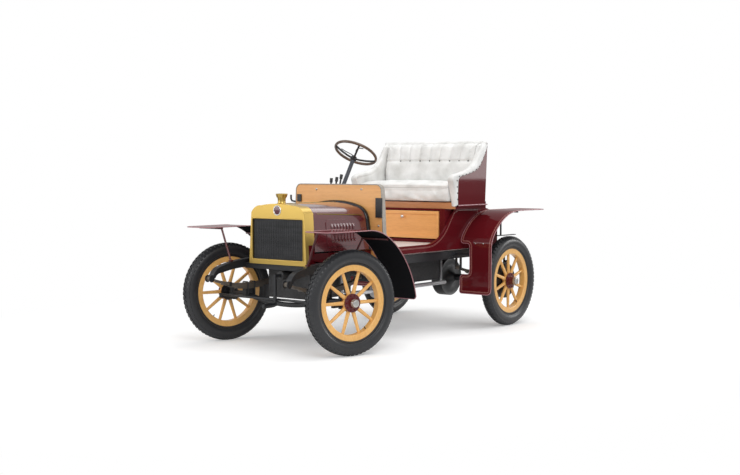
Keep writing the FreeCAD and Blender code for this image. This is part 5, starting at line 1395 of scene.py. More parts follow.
@dataclass
class Bonnet:
    """Dressing of the two bonnet halves."""

    front: Section = field(default_factory=lambda: Section(0.9615, 0.56, 15.0, 0.095, 70.0, 0.222))
    rear: Section = field(default_factory=lambda: Section(0.4585, 0.64, 17.5, 0.115, 64.0, 0.207))
    panel_front: float = 0.8465
    panel_rear: float = 0.552
    panel_low: float = 0.695
    panel_high: float = 0.88
    louver_front: float = 0.805
    louver_count: int = 8
    louver_pitch: float = 0.029
    louver_low: float = 0.722
    louver_high: float = 0.852
    seal_section: tuple[Point2, ...] = (
        (0.4172, -0.01), (0.4172, 0.002), (0.4215, 0.0075), (0.43, 0.011), (0.44, 0.012), (0.45, 0.0095),
        (0.4555, 0.0045), (0.457, -0.003), (0.456, -0.01),
    )

    def on_side(self, x: float, z: float, lift: float = 0.0) -> Vector:
        """Point on the left side sheet at a place along the car and a height.

        Args:
            x: place along the car.
            z: height.
            lift: distance out of the sheet.

        Returns:
            The point.
        """
        share = (self.front.x - x) / (self.front.x - self.rear.x)
        front, rear = self.front.sheet(), self.rear.sheet()
        high, low = blend(front[0], rear[0], share), blend(front[1], rear[1], share)
        down = (high[1] - z) / (high[1] - low[1])
        y = high[0] + (low[0] - high[0]) * down
        lean = atan2(low[0] - high[0], high[1] - low[1])
        flare = (rear[0][0] - front[0][0]) / (self.front.x - self.rear.x)
        out = vec(flare, 1.0, tan(lean)).normalized()
        return vec(x, y, z) + out * lift

    def build(self) -> None:
        """Dress both halves."""
        for side, sign in SIDES.items():
            self._panel(side, sign)
            self._louvers(side, sign)
            self._hinge_strip(side, sign)
        self._seal()

    def _panel(self, side: str, sign: int) -> None:
        """Raised panel round the louvers, with its upper rear corner cut off.

        Args:
            side: name of the side.
            sign: 1 on the left, -1 on the right.
        """
        f, r, lo, hi, c = self.panel_front, self.panel_rear, self.panel_low, self.panel_high, 0.02
        loop = outline([
            (f - c, lo, c), (f, lo + c), (f, hi - c, c), (f - c, hi), (r + 0.075, hi), (r + 0.06, hi - 0.004),
            (r + 0.004, hi - 0.062), (r, hi - 0.074), (r, lo + c, c), (r + c, lo),
        ], steps=6)
        piece = plate(f"louver_panel_{side}", [loop], lambda x, z, d: mirrored(self.on_side(x, z, 0.0045 - d), sign),
                      0.006, 0.0035, 3)
        settle(piece, BONNET_PAINT, f"bonnet_{side}_body")

    def _louvers(self, side: str, sign: int) -> None:
        """Row of pressed louvers that open to the rear.

        Args:
            side: name of the side.
            sign: 1 on the left, -1 on the right.
        """
        x0 = self.louver_front
        rows = 10
        across = ((0.0, 0.0), (0.003, 0.006), (0.007, 0.0105), (0.0115, 0.013), (0.015, 0.013), (0.0153, 0.0))
        rings = []
        for step in range(rows + 1):
            share = step / rows
            z = self.louver_low + (self.louver_high - self.louver_low) * share
            swell = min(1.0, sin(pi * share) * 3.2) if 0 < step < rows else 0.03
            ring = [self.on_side(x0 - u, z, 0.0042 + lift * swell) for u, lift in across]
            ring += [self.on_side(x0 - u, z, 0.002) for u in (0.0153, 0.0)]
            rings.append([mirrored(point, sign) for point in ring])
        louver = smooth_by_angle(lofted(f"louvers_{side}", rings), 50)
        step = self.on_side(x0 - self.louver_pitch, 0.79) - self.on_side(x0, 0.79)
        piece = GROWTH.grow(louver, GROWTH.row, BONNET_PAINT, Count=self.louver_count,
                            Step=(step.x, sign * step.y, step.z))
        settle(smooth_by_angle(piece, 50), BONNET_PAINT, f"bonnet_{side}_body")

    def _hinge_strip(self, side: str, sign: int) -> None:
        """Strip in the bonnet's paint and brass knuckle of the shoulder hinge.

        Args:
            side: name of the side.
            sign: 1 on the left, -1 on the right.
        """
        ends = [end.along(end.crown_angle + 0.707 * end.shoulder_angle) for end in (self.front, self.rear)]
        x0, run = self.front.x - 0.045, self.rear.x - self.front.x + 0.075
        spots = [vec(x0 + run * step / 12, *blend(*ends, step / 12)) for step in range(13)]
        out = vec(0, 0.9, 0.43).normalized()
        across = vec(0, -0.43, 0.9).normalized()
        body = f"bonnet_{side}_body"
        line = [tuple(mirrored(item, sign) for item in (spot, across, out)) for spot in spots]
        settle(ribbons(f"shoulder_strip_{side}", [line], 0.011, 0.001), BONNET_PAINT, body)
        knuckle = [mirrored(spot + out * 0.0015, sign) for spot in spots]
        bars(f"shoulder_knuckle_{side}", [knuckle], 0.0032, DULL_BRASS, body=body)

    def _seal(self) -> None:
        """Rubber seal on the dashboard that the rear edges of both halves meet."""
        end = self.rear
        spots = [end.along(end.crown_angle * step / 6) for step in range(6)]
        spots += [end.along(end.crown_angle + end.shoulder_angle * step / 10) for step in range(11)]
        half = [vec(0, y, z) for y, z in (*spots, end.sheet()[1])]
        arch = [mirrored(point, -1) for point in reversed(half)] + [vec(0, 0, end.start[1] + 0.0004)] + half
        rings = []
        for index, spot in enumerate(arch):
            run = (arch[min(index + 1, len(arch) - 1)] - arch[max(index - 1, 0)]).normalized()
            out = vec(0, -run.z, run.y)
            rings.append([vec(x, 0, 0) + spot + out * lift for x, lift in self.seal_section])
        settle(smooth_by_angle(lofted("bonnet_seal", rings), 50), GASKET)


# Dashboard


@dataclass
class Dashboard:
    """Metal edge, studs and plates of the wooden dashboard."""

    front: float = 0.4175
    back: float = 0.3825
    low: float = 0.6025
    top: float = 1.116
    half: float = 0.42
    top_half: float = 0.397
    corner: float = 0.045

    def _edge(self, grow: float) -> list[Point2]:
        """Outline from the right foot over the top to the left foot, grown by a distance.

        Args:
            grow: the distance.

        Returns:
            Its points.
        """
        c = self.corner + grow
        half, top_half, top = self.half + grow, self.top_half + grow, self.top + grow
        return outline([(half, self.low), (top_half, top - c, c), (top_half - c, top), (-top_half + c, top, c),
                        (-top_half, top - c), (-half, self.low)], closed=False, steps=8)

    def build(self) -> None:
        """Build the edge, the studs and the plates."""
        loop = self._edge(0.0022) + self._edge(-0.004)[::-1]
        band = plate("dash_edge_band", [loop], across_car(self.front + 0.0025), self.front - self.back + 0.005, 0.001)
        settle(smooth_by_angle(band, 30), EDGE_STEEL)
        spots = ((-0.2, 1.078), (0.2185, 1.082), (0.372, 0.826), (-0.372, 0.826))
        profile = [(0.0, 0.0), (0.0, 0.0085), (0.002, 0.0082), (0.0045, 0.005), (0.0052, 0.0)]
        heads("dash_studs", profile, 20, [(self.front - 0.0004, y, z) for y, z in spots], SILVER)
        self._plates()

    def _plates(self) -> None:
        """Black plate at the left edge, and the small plate and prong at the right edge."""
        for name, y0, y1, z0, z1, depth in (("dash_plate_left", 0.352, 0.407, 0.884, 1.022, 0.012),
                                            ("dash_plate_right", -0.381, -0.343, 0.985, 1.04, 0.01)):
            loop = [(y0, z0), (y1, z0), (y1, z1), (y0, z1)]
            settle(plate(name, [loop], across_car(self.front, 1), depth, 0.002), BLACK_IRON)
        prong = [vec(self.front + ahead, y, z) for ahead, y, z in
                 ((0.004, -0.404, 0.985), (0.01, -0.43, 0.99), (0.012, -0.438, 1.005), (0.012, -0.438, 1.034))]
        bars("dash_prong", [prong], 0.007, BLACK_IRON, facets=10)


# Bodywork


@dataclass
class Bodywork:
    """Stripes, mouldings and fittings of the open body."""

    panel: float = 0.4024
    door_front: float = -0.3865
    door_half: float = 0.33
    door_low: float = 0.695
    door_high: float = 0.905
    sill: Trail = Trail(0.3822, 0.667, 180.0, ((0.5087,), (0.33, -52.0), (0.1203,), (0.09, 52.0)))

    def build(self) -> None:
        """Build the body's dressing."""
        self._floor_mat()
        self._door()
        self._stripes()
        self._rail()
        self._deck_beads()

    def _floor_mat(self) -> None:
        """Pale mat with a hole for the steering column."""
        turns = [tau * index / 24 for index in range(24)]
        hole = [(0.357 + 0.03 * cos(turn), -0.22 + 0.021 * sin(turn)) for turn in turns]
        mat = plate("floor_mat", [[(-0.384, -0.378), (0.3815, -0.378), (0.3815, 0.378), (-0.384, 0.378)], hole],
                    lambda x, y, d: vec(x, y, 0.6602 + d), 0.0035, 0.001, 1)
        settle(mat, PALE_FLOOR)

    def _door(self) -> None:
        """Framed front and plated knob of the locker door."""
        h, lo, hi, w = self.door_half, self.door_low, self.door_high, 0.026
        rim = [(-h, lo), (h, lo), (h, hi), (-h, hi)]
        inside = [(-h + w, lo + w), (h - w, lo + w), (h - w, hi - w), (-h + w, hi - w)]
        border = plate("locker_door_frame", [rim, inside], across_car(self.door_front + 0.006), 0.0058, 0.0018)
        settle(border, OAK, "locker_door_body")
        knob = lathe("locker_knob", [(0.0, 0.0), (0.0, 0.01), (0.003, 0.0105), (0.006, 0.006), (0.011, 0.006),
                                     (0.0145, 0.0105), (0.0195, 0.0115), (0.0225, 0.008), (0.0235, 0.0)], 28)
        place = forward_at(self.door_front + 0.0058, 0, 0.86)
        settle(smooth_by_angle(knob, 30), SILVER, "locker_door_body", place=place)

    def _stripes(self) -> None:
        """Fine stripes along the sweep, the seat panel and the tail."""
        lines = []
        for sign in SIDES.values():
            across_out = vec(0, sign, 0)
            for inset in (0.017, 0.023):
                line = []
                for spot in self.sill.spots(0.025):
                    place = vec(spot.x - spot.out_x * inset, sign * self.panel, spot.z - spot.out_z * inset)
                    line.append((place, vec(spot.out_x, 0, spot.out_z), across_out))
                lines.append(line)
            lines.append([(vec(x, sign * self.panel, z), vec(1, 0, 0), across_out)
                          for x, z in ((-0.81, 0.705), (-0.81, 0.8), (-0.81, 0.912))])
            lines.append([(vec(x, sign * self.panel, z), vec(0, 0, 1), across_out)
                          for x, z in ((-0.52, 0.907), (-0.66, 0.907), (-0.8, 0.907))])
        settle(ribbons("body_stripes", lines, 0.0017, 0.0005), STRIPE)

    def _rail(self) -> None:
        """Darker front strip of the seat rail."""
        loop = [(-0.47, 0.9235), (0.47, 0.9235), (0.47, 0.9725), (-0.47, 0.9725)]
        settle(plate("seat_rail_strip", [loop], across_car(-0.4034, 1), 0.006, 0.002), DARK_OAK)

    def _deck_beads(self) -> None:
        """Half-round beads along the tail's edges."""
        lines = []
        for sign in SIDES.values():
            lines.append([vec(x, sign * 0.393, z) for x, z in
                          ((-0.829, 0.935), (-0.8625, 0.935), (-1.0295, 0.891), (-1.1055, 0.8635))])
            lines.append([vec(-1.106, sign * 0.393, z) for z in (0.861, 0.74, 0.616)])
        bars("tail_beads", lines, 0.0055, BURGUNDY, facets=10)


# Upholstery


class EdgeStation(NamedTuple):
    """Place along the tub's edge: the edge, the leather's outer end, and the roll's height and overhang."""

    edge_x: float
    edge_z: float
    end_x: float
    end_z: float
    height: float
    overhang: float


@dataclass
class Upholstery:
    """Leather squab, cushion, arm linings and nailed edge of the seat."""

    voxel: float = 0.006
    pressure: float = 4.0
    frames: int = 20
    buttons: tuple[float, ...] = (-0.2785, -0.1836, -0.0849, 0.0076, 0.1039, 0.1989, 0.2881, 0.3717)
    button_height: float = 1.287
    fan: float = 0.077
    squab_half: float = 0.43
    tub_out: float = 0.4843
    tub_back: float = -0.8225
    stations: tuple[EdgeStation, ...] = tuple(EdgeStation(*row) for row in (
        (-0.419, 0.952, -0.4102, 0.952, 0.038, 0.002), (-0.404, 0.99, -0.4112, 0.9918, 0.026, 0.003),
        (-0.3823, 1.044, -0.4135, 1.0443, 0.012, 0.005), (-0.3646, 1.089, -0.4171, 1.0893, 0.007, 0.006),
        (-0.35, 1.125, -0.4215, 1.129, 0.007, 0.006), (-0.345, 1.143, -0.427, 1.145, 0.009, 0.006),
        (-0.353, 1.157, -0.436, 1.157, 0.012, 0.006), (-0.3785, 1.168, -0.449, 1.167, 0.016, 0.006),
        (-0.43, 1.174, -0.47, 1.1725, 0.02, 0.006), (-0.49, 1.182, -0.498, 1.177, 0.023, 0.006),
        (-0.55, 1.193, -0.548, 1.186, 0.026, 0.007), (-0.605, 1.209, -0.601, 1.197, 0.03, 0.008),
        (-0.65, 1.227, -0.649, 1.211, 0.036, 0.01), (-0.695, 1.256, -0.7, 1.235, 0.042, 0.011),
        (-0.735, 1.297, -0.744, 1.282, 0.046, 0.012), (-0.766, 1.342, -0.776, 1.329, 0.046, 0.012),
        (-0.793, 1.383, -0.8, 1.364, 0.04, 0.012), (-0.808, 1.412, -0.812, 1.388, 0.028, 0.01),
    ))

    def build(self) -> None:
        """Build the soft pieces and their trim."""
        self._cushion()
        self._squab()
        self._arms()
        self._edge_roll()
        self._buttons()

    def _soft(self, piece: Piece, cap: float, crease: Callable[[Vector], Vector], replaced: Sequence[str],
              voxel: float | None = None, pinned: Callable[[Vector], bool] | None = None) -> None:
        """Args:
            piece: the closed form, slightly small.
            cap: farthest that a point may move when it is inflated.
            crease: gives the shift of a point that makes its seams and channels.
            replaced: CAD nodes that it stands for.
            voxel: size of the remesh, where it isn't the usual one.
            pinned: test of the points that stay against the wood.
        """
        remesh = piece.modifiers.new("remesh", "REMESH")
        remesh.mode = "VOXEL"
        remesh.voxel_size = voxel or self.voxel
        remesh.use_smooth_shade = True
        settle_modifiers(piece)
        self._inflate(piece, cap, pinned)
        for vertex in piece.data.vertices:
            vertex.co += crease(vertex.co)
        smoother = piece.modifiers.new("relax", "SMOOTH")
        smoother.factor = 0.4
        smoother.iterations = 2
        settle_modifiers(piece)
        piece.data.shade_smooth()
        settle(subdivided(piece), LEATHER, replaced=replaced)

    def _inflate(self, piece: Piece, cap: float, pinned: Callable[[Vector], bool] | None) -> None:
        """Blow a closed form up as cloth under pressure and keep the result.

        Args:
            piece: the remeshed form.
            cap: farthest that a point may move.
            pinned: test of the points that stay put.
        """
        start = [vertex.co.copy() for vertex in piece.data.vertices]
        cloth = piece.modifiers.new("cloth", "CLOTH")
        settings = cloth.settings
        settings.use_pressure = True
        settings.uniform_pressure_force = self.pressure
        settings.effector_weights.gravity = 0.0
        settings.quality = 4
        if pinned is not None:
            group = piece.vertex_groups.new(name="held")
            group.add([vertex.index for vertex in piece.data.vertices if pinned(vertex.co)], 1.0, "REPLACE")
            settings.vertex_group_mass = "held"
        cloth.point_cache.frame_start = 1
        cloth.point_cache.frame_end = self.frames
        scene = bpy.context.scene
        for number in range(1, self.frames + 1):
            scene.frame_set(number)
        evaluated = piece.evaluated_get(bpy.context.evaluated_depsgraph_get())
        ends = [vertex.co.copy() for vertex in evaluated.data.vertices]
        piece.modifiers.clear()
        for vertex, first, last in zip(piece.data.vertices, start, ends):
            shift = last - first
            vertex.co = first + shift * min(1.0, cap / max(shift.length, 1e-9))
        scene.frame_set(1)

    def _block(self, name: str, corners: Sequence[Corner], half: float, bevel: float, centre: float = 0.0) -> Piece:
        """Rounded prism across the car about a centre, from corners (x, z) or (x, z, radius) and half its width."""
        loop = outline(corners, steps=6)
        return plate(name, [loop], lambda x, z, d: vec(x, centre - half + d, z), 2 * half, bevel, 3)

    def _cushion(self) -> None:
        """Thick cushion with a seam under its upper roll."""
        corners = [(-0.372, 0.98), (-0.368, 1.096), (-0.38, 1.111), (-0.52, 1.117), (-0.683, 1.098), (-0.688, 0.98)]
        piece = self._block("seat_cushion_pad", corners, 0.424, 0.018)

        def crease(point: Vector) -> Vector:
            """Seam below the roll, a soft crown and loose wrinkles.

            Args:
                point: the point.

            Returns:
                Its shift.
            """
            shift = vec(0, 0, 0)
            front = max(0.0, 1 - abs(point.x + 0.368) / 0.05)
            seam = exp(-((point.z - 1.082) / 0.0075) ** 2)
            shift.x -= 0.011 * seam * front
            side = max(0.0, 1 - (0.434 - abs(point.y)) / 0.03) if abs(point.y) > 0.4 else 0.0
            shift.y -= copysign(0.007 * seam * min(1.0, side), point.y)
            if point.z > 1.085:
                crown = (1 - (point.y / 0.45) ** 2) * (1 - ((point.x + 0.52) / 0.19) ** 2)
                shift.z += 0.01 * max(0.0, crown)
                wrinkle = sin(point.y * 41 + 1.3 * sin(point.x * 33))
                shift.z += 0.002 * wrinkle * sin(point.x * 27 + 0.7)
            elif point.z > 0.99:
                fold = sin(point.y * 17 + 2.6 * sin(point.z * 31 + point.y * 5))
                shift.x += (0.0042 * fold + 0.002 * sin(point.y * 47 + point.z * 60)) * front
            return shift

        self._soft(piece, 0.012, crease, ["seat_cushion"], pinned=lambda p: p.z < 0.986 or p.x < -0.68)
        welt = [vec(-0.3655, -0.415 + 0.83 * i / 24, 1.082) for i in range(25)]
        bars("cushion_seam", [welt], 0.0022, SEAM_LEATHER)

    def _front_at(self, z: float) -> float:
        """Place along the car of the squab's front face at a height."""
        if z < self.button_height:
            return -0.701 - (z - 0.98) * 0.04
        return -0.7133 - (z - self.button_height) * 0.26

    def _squab(self) -> None:
        """Back with upright pleats above a buttoned seam and a smooth roll below."""
        corners = [(-0.776, 0.979), (-0.703, 0.979), (-0.716, 1.287), (-0.738, 1.38), (-0.746, 1.404), (-0.76, 1.422),
                   (-0.78, 1.429), (-0.8, 1.425), (-0.801, 1.4)]
        piece = self._block("seat_back_squab", corners, self.squab_half, 0.012)

        def crease(point: Vector) -> Vector:
            """Pleats, button pits and the seams on the front face and the top.

            Args:
                point: the point.

            Returns:
                Its shift.
            """
            high = max(0.0, point.z - self.button_height)
            front = self._front_at(point.z)
            near = 1.0 if point.x > front - 0.004 else max(0.0, 1 - (front - 0.004 - point.x) / 0.035)
            rise = max(0.0, min(1.0, (point.z - 1.4) / 0.02))
            spread = point.y / (1 + self.fan * high / 0.15)
            shift = -0.01 * exp(-((point.z - self.button_height) / 0.008) ** 2)
            pleat = 0.0
            if point.z > self.button_height - 0.004:
                fade = min(1.0, (point.z - self.button_height + 0.004) / 0.02)
                gap = min(abs(spread - place) for place in self.buttons)
                pleat = -0.01 * exp(-(gap / 0.006) ** 2)
                if self.buttons[0] < spread < self.buttons[-1]:
                    pleat += 0.006 * min(1.0, gap / 0.03)
                shift += fade * pleat
            else:
                depth = (self.button_height - point.z) / (self.button_height - 1.1)
                shift += 0.013 * sin(pi * min(1.0, max(0.0, depth)) ** 0.8)
            for place in self.buttons:
                pit = ((spread - place) ** 2 + (point.z - self.button_height) ** 2) / 0.014 ** 2
                shift -= 0.01 * exp(-pit)
            shift += 0.0018 * sin(point.y * 37 + 2.2 * sin(point.z * 29)) * sin(point.z * 43)
            return vec(shift * near, 0, 0.3 * pleat * rise)

        self._soft(piece, 0.01, crease, ["seat_back"], pinned=lambda p: p.x < -0.774 and p.z < 1.38)

    def _arm_corners(self) -> list[Corner]:
        """Upper edge of an arm's lining and its wing, from the nose to the top of the back.

        Returns:
            The corners.
        """
        nose, top = (-0.356, 1.13), (-0.385, 1.168)
        knee, end = (-0.612, 1.246), (-0.74, 1.412)
        bends = (bow(nose, top, 0.219), -bow(top, knee, 0.045), -bow(knee, end, 0.08))
        return [(*spot, bend) for spot, bend in zip((nose, top, knee), bends)] + [end, (-0.775, 1.42)]

    def _arms(self) -> None:
        """Linings of the two arms."""
        for side, sign in SIDES.items():
            corners = [(-0.384, 0.979)] + self._arm_corners() + [(-0.776, 0.979)]
            piece = self._block(f"arm_lining_{side}", corners, 0.014, 0.008, sign * 0.453)

            def crease(point: Vector) -> Vector:
                """Soft unevenness of the stretched leather."""
                wave = 0.002 * sin(point.x * 31 + 1.7 * sin(point.z * 26)) * sin(point.z * 35)
                return vec(0, wave, 0)

            self._soft(piece, 0.005, crease, ["arm_pads"] if sign > 0 else [], voxel=0.0065)

    def _side_sections(self) -> list[tuple[list[Vector], Vector]]:
        """Sections of the leather along the left arm and wing, each with the place of a nail.

        Returns:
            Pairs of a closed ring and a nail's place, from the foot up.
        """
        knots = self.stations
        smooth: list[EdgeStation] = []
        for index in range(len(knots) - 1):
            a, b, c, d = (knots[max(0, min(len(knots) - 1, index + shift))] for shift in (-1, 0, 1, 2))
            for step in range(4):
                t = step / 4
                smooth.append(EdgeStation(*(
                    0.5 * (2 * q + (r - p) * t + (2 * p - 5 * q + 4 * r - s) * t * t + (3 * q - p - 3 * r + s) * t ** 3)
                    for p, q, r, s in zip(a, b, c, d))))
        smooth.append(knots[-1])
        found = []
        for index, spot in enumerate(smooth):
            after, before = smooth[min(index + 1, len(smooth) - 1)], smooth[max(index - 1, 0)]
            along = vec(after.edge_x - before.edge_x, 0, after.edge_z - before.edge_z).normalized()
            out = vec(along.z, 0, -along.x)
            edge = vec(spot.edge_x, 0, spot.edge_z)
            end = vec(spot.end_x, 0, spot.end_z)
            middle = end.lerp(edge, 0.5)
            rim, side = self.tub_out + spot.overhang, self.tub_out
            ring = [
                (end, side - 0.002), (end, side + 0.003), (middle, side + 0.4 * spot.overhang + 0.002),
                (edge + out * 0.1 * spot.height, rim), (edge + out * 0.55 * spot.height, rim - 0.003),
                (edge + out * 0.88 * spot.height, rim - 0.012), (edge + out * spot.height, 0.464),
                (edge + out * 0.88 * spot.height, 0.447), (edge + out * 0.5 * spot.height, 0.437),
                (edge - out * 0.002, 0.434), (edge - out * 0.02, 0.438), (edge - out * 0.02, 0.476),
            ]
            nail = end.lerp(edge, 0.35) + out * 0.1 * spot.height
            found.append(([vec(point.x, y, point.z) for point, y in ring],
                          vec(nail.x, side + 0.25 * spot.overhang + 0.003, nail.z)))
        return found

    def _top_section(self, y: float, turn: float, radius: float) -> tuple[list[Vector], Vector]:
        """Section of the leather over the tub's top, turned about an upright line at the corner.

        Args:
            y: place across the car of the turning centre.
            turn: 0 where the section looks to the side, 1 where it looks to the rear.
            radius: distance from the turning centre to the tub's outer face.

        Returns:
            The closed ring and a nail's place.
        """
        angle = radians(90 * turn)
        side = vec(-sin(angle), cos(angle), 0)
        centre = vec(self.tub_back + radius, y, 0)
        top = 1.427
        shape = [
            (-0.002, -0.024), (0.003, -0.024), (0.006, -0.012), (0.01, 0.002), (0.007, 0.012), (-0.002, 0.0155),
            (-0.014, 0.0165), (-0.026, 0.0135), (-0.034, 0.006), (-0.037, -0.004), (-0.034, -0.02), (-0.008, -0.02),
        ]
        ring = [centre + side * (radius + out) + vec(0, 0, top + lift) for out, lift in shape]
        return ring, centre + side * (radius + 0.006) + vec(0, 0, top - 0.01)

    def _edge_roll(self) -> None:
        """Stuffed leather over the tub's edge and the nails that hold it."""
        radius = 0.03
        left = self._side_sections()
        corner = [self._top_section(self.tub_out - radius, share / 4, radius) for share in range(5)]
        middle = [self._top_section(y, 1.0, radius) for y in (0.4, 0.28, 0.14, 0.0)]
        half = left + corner + middle
        other = [([mirrored(point, -1) for point in ring], mirrored(nail, -1)) for ring, nail in half[-2::-1]]
        roll = subdivided(lofted("seat_edge_roll", [ring for ring, _ in half + other]))
        settle(roll, LEATHER)
        nails("seat_nails", [[nail for _, nail in half + other]], 0.046, 0.0052, STUD_DARK)
        # Lower bead of the tub: a burgundy moulding, given a pale pink colour that is a painted highlight.
        beads = [[vec(x, sign * 0.485, 0.9505) for x in (-0.412, -0.6, -0.822)] for sign in SIDES.values()]
        bars("tub_lower_bead", beads, 0.005, BEAD_HIGHLIGHT_PINK)

    def _buttons(self) -> None:
        """Dark buttons along the seam of the squab."""
        front = self._front_at(self.button_height)
        places = [(front - 0.01, y, self.button_height) for y in self.buttons]
        profile = [(0.0, 0.0), (0.0, 0.0062), (0.0018, 0.006), (0.0036, 0.0036), (0.004, 0.0)]
        heads("squab_buttons", profile, 14, places, STUD_DARK)


# Fenders


FRONT_FENDER = Trail(1.2945, 0.824, 180.0, ((0.401,), (0.42, 31.0), (0.66, 48.0)))
REAR_NOTCH = (0.42, 0.66, 0.508, 0.03)
REAR_FENDER = Trail(-0.5235, 0.279, 125.0, ((0.1, -35.0), (0.282,), (0.17, 38.0), (0.472, 52.0), (0.416,)))


@dataclass
class Sheet:
    """Bent sheet: its line, its two edges, its rounded corners and the notch in its inner edge."""

    trail: Trail
    inner: float
    outer: float
    first_round: float
    last_round: float
    notch: tuple[float, float, float, float] | None = None

    def __post_init__(self) -> None:
        """Measure the line."""
        self._spots = self.trail.spots(0.02)
        self._lengths = [0.0]
        for before, after in zip(self._spots, self._spots[1:]):
            self._lengths.append(self._lengths[-1] + hypot(after.x - before.x, after.z - before.z))

    @property
    def length(self) -> float:
        """Length of the line."""
        return self._lengths[-1]

    def at(self, run: float, y: float, sign: int, lift: float = 0.0) -> tuple[Vector, Vector]:
        """Point of the sheet and the direction out of it.

        Args:
            run: distance along the line.
            y: place across the car.
            sign: 1 on the left, -1 on the right.
            lift: distance out of the sheet.

        Returns:
            The point and the direction.
        """
        run = min(max(run, 0.0), self.length)
        index = next((i for i in range(1, len(self._lengths)) if self._lengths[i] >= run), len(self._lengths) - 1)
        before, after = self._spots[index - 1], self._spots[index]
        share = (run - self._lengths[index - 1]) / (self._lengths[index] - self._lengths[index - 1])
        mid = blend(before, after, share)
        out = vec(mid[2], 0, mid[3]).normalized()
        return vec(mid[0], sign * y, mid[1]) + out * lift, out

    def run_at(self, z: float) -> float:
        """Distance along the line where it first reaches a height.

        Args:
            z: the height.

        Returns:
            The distance.
        """
        index = next(i for i, spot in enumerate(self._spots) if spot.z >= z)
        before, after = self._spots[index - 1], self._spots[index]
        start, end = self._lengths[index - 1:index + 1]
        return start + (z - before.z) / (after.z - before.z) * (end - start)

    def rim(self, inset: float) -> list[Point2]:
        """Outline of the flat sheet, shrunk by an inset, as pairs of run and place across.

        Args:
            inset: distance from the edge.

        Returns:
            The outline's points, close enough together to follow the bends.
        """
        a, i, o, end = inset, self.inner + inset, self.outer - inset, self.length - inset
        first, last = self.first_round - inset, self.last_round - inset
        corners: list[Corner] = [(a + first, i)]
        if self.notch is not None:
            low, high, neck, bend = self.notch
            low, high, neck = self.run_at(low) - a, self.run_at(high) + a, neck + a
            tight, wide = bend - a, bend + a
            corners += [
                (low - tight, i, tight), (low, i + tight), (low, neck - wide, -wide), (low + wide, neck),
                (high - wide, neck, -wide), (high, neck - wide), (high, i + tight, tight), (high + tight, i),
            ]
        corners += [
            (end - last, i, last), (end, i + last), (end, o - last, last), (end - last, o),
            (a + first, o, first), (a, o - first), (a, i + first, first),
        ]
        rough = outline(corners, steps=8)
        points: list[Point2] = []
        for index, point in enumerate(rough):
            after = rough[(index + 1) % len(rough)]
            parts = max(1, ceil(hypot(after[0] - point[0], after[1] - point[1]) / 0.025))
            points += [tuple(blend(point, after, part / parts)) for part in range(parts)]
        return points

    def bead(self, sign: int) -> list[Vector]:
        """Line of the wired edge on one side of the car."""
        return [self.at(run, y, sign, -0.002)[0] for run, y in self.rim(0.0006)]

    def stripe(self, sign: int, inset: float) -> list[tuple[Vector, Vector, Vector]]:
        """Closed line of a stripe, with the directions across it and out of the sheet.

        Args:
            sign: 1 on the left, -1 on the right.
            inset: distance from the edge.

        Returns:
            The points of the stripe, the first one repeated at the end.
        """
        spots = [self.at(run, y, sign, 0.0002) for run, y in self.rim(inset)]
        line = []
        for index, (place, out) in enumerate(spots):
            ahead = spots[(index + 1) % len(spots)][0] - spots[index - 1][0]
            line.append((place, out.cross(ahead.normalized()), out))
        return line + line[:1]


@dataclass
class Fenders:
    """Wired edges, stripes and bolts of the four fenders."""

    front: Sheet = field(default_factory=lambda: Sheet(FRONT_FENDER, 0.424, 0.668, 0.06, 0.0285))
    rear: Sheet = field(default_factory=lambda: Sheet(REAR_FENDER, 0.42, 0.7, 0.0285, 0.06, REAR_NOTCH))

    def build(self) -> None:
        """Dress the fenders."""
        lines = [sheet.bead(sign) for sheet in (self.front, self.rear) for sign in SIDES.values()]
        # Wired edges of the burgundy fenders, given a pale pink colour that is a painted highlight.
        bars("fender_beads", lines, 0.0034, BEAD_HIGHLIGHT_PINK, closed=True)
        stripes = [self.rear.stripe(sign, inset) for sign in SIDES.values() for inset in (0.014, 0.02)]
        settle(ribbons("fender_stripes", stripes, 0.002, 0.0005), STRIPE)
        run = self.rear.run_at(0.662)
        places = [self.rear.at(run, y, sign, -0.0004)[0] for sign in SIDES.values() for y in (0.555, 0.625)]
        heads("fender_bolts", [(0.0, 0.0), (0.0, 0.006), (0.003, 0.0055), (0.004, 0.0)], 12, places, SILVER)


# Steering


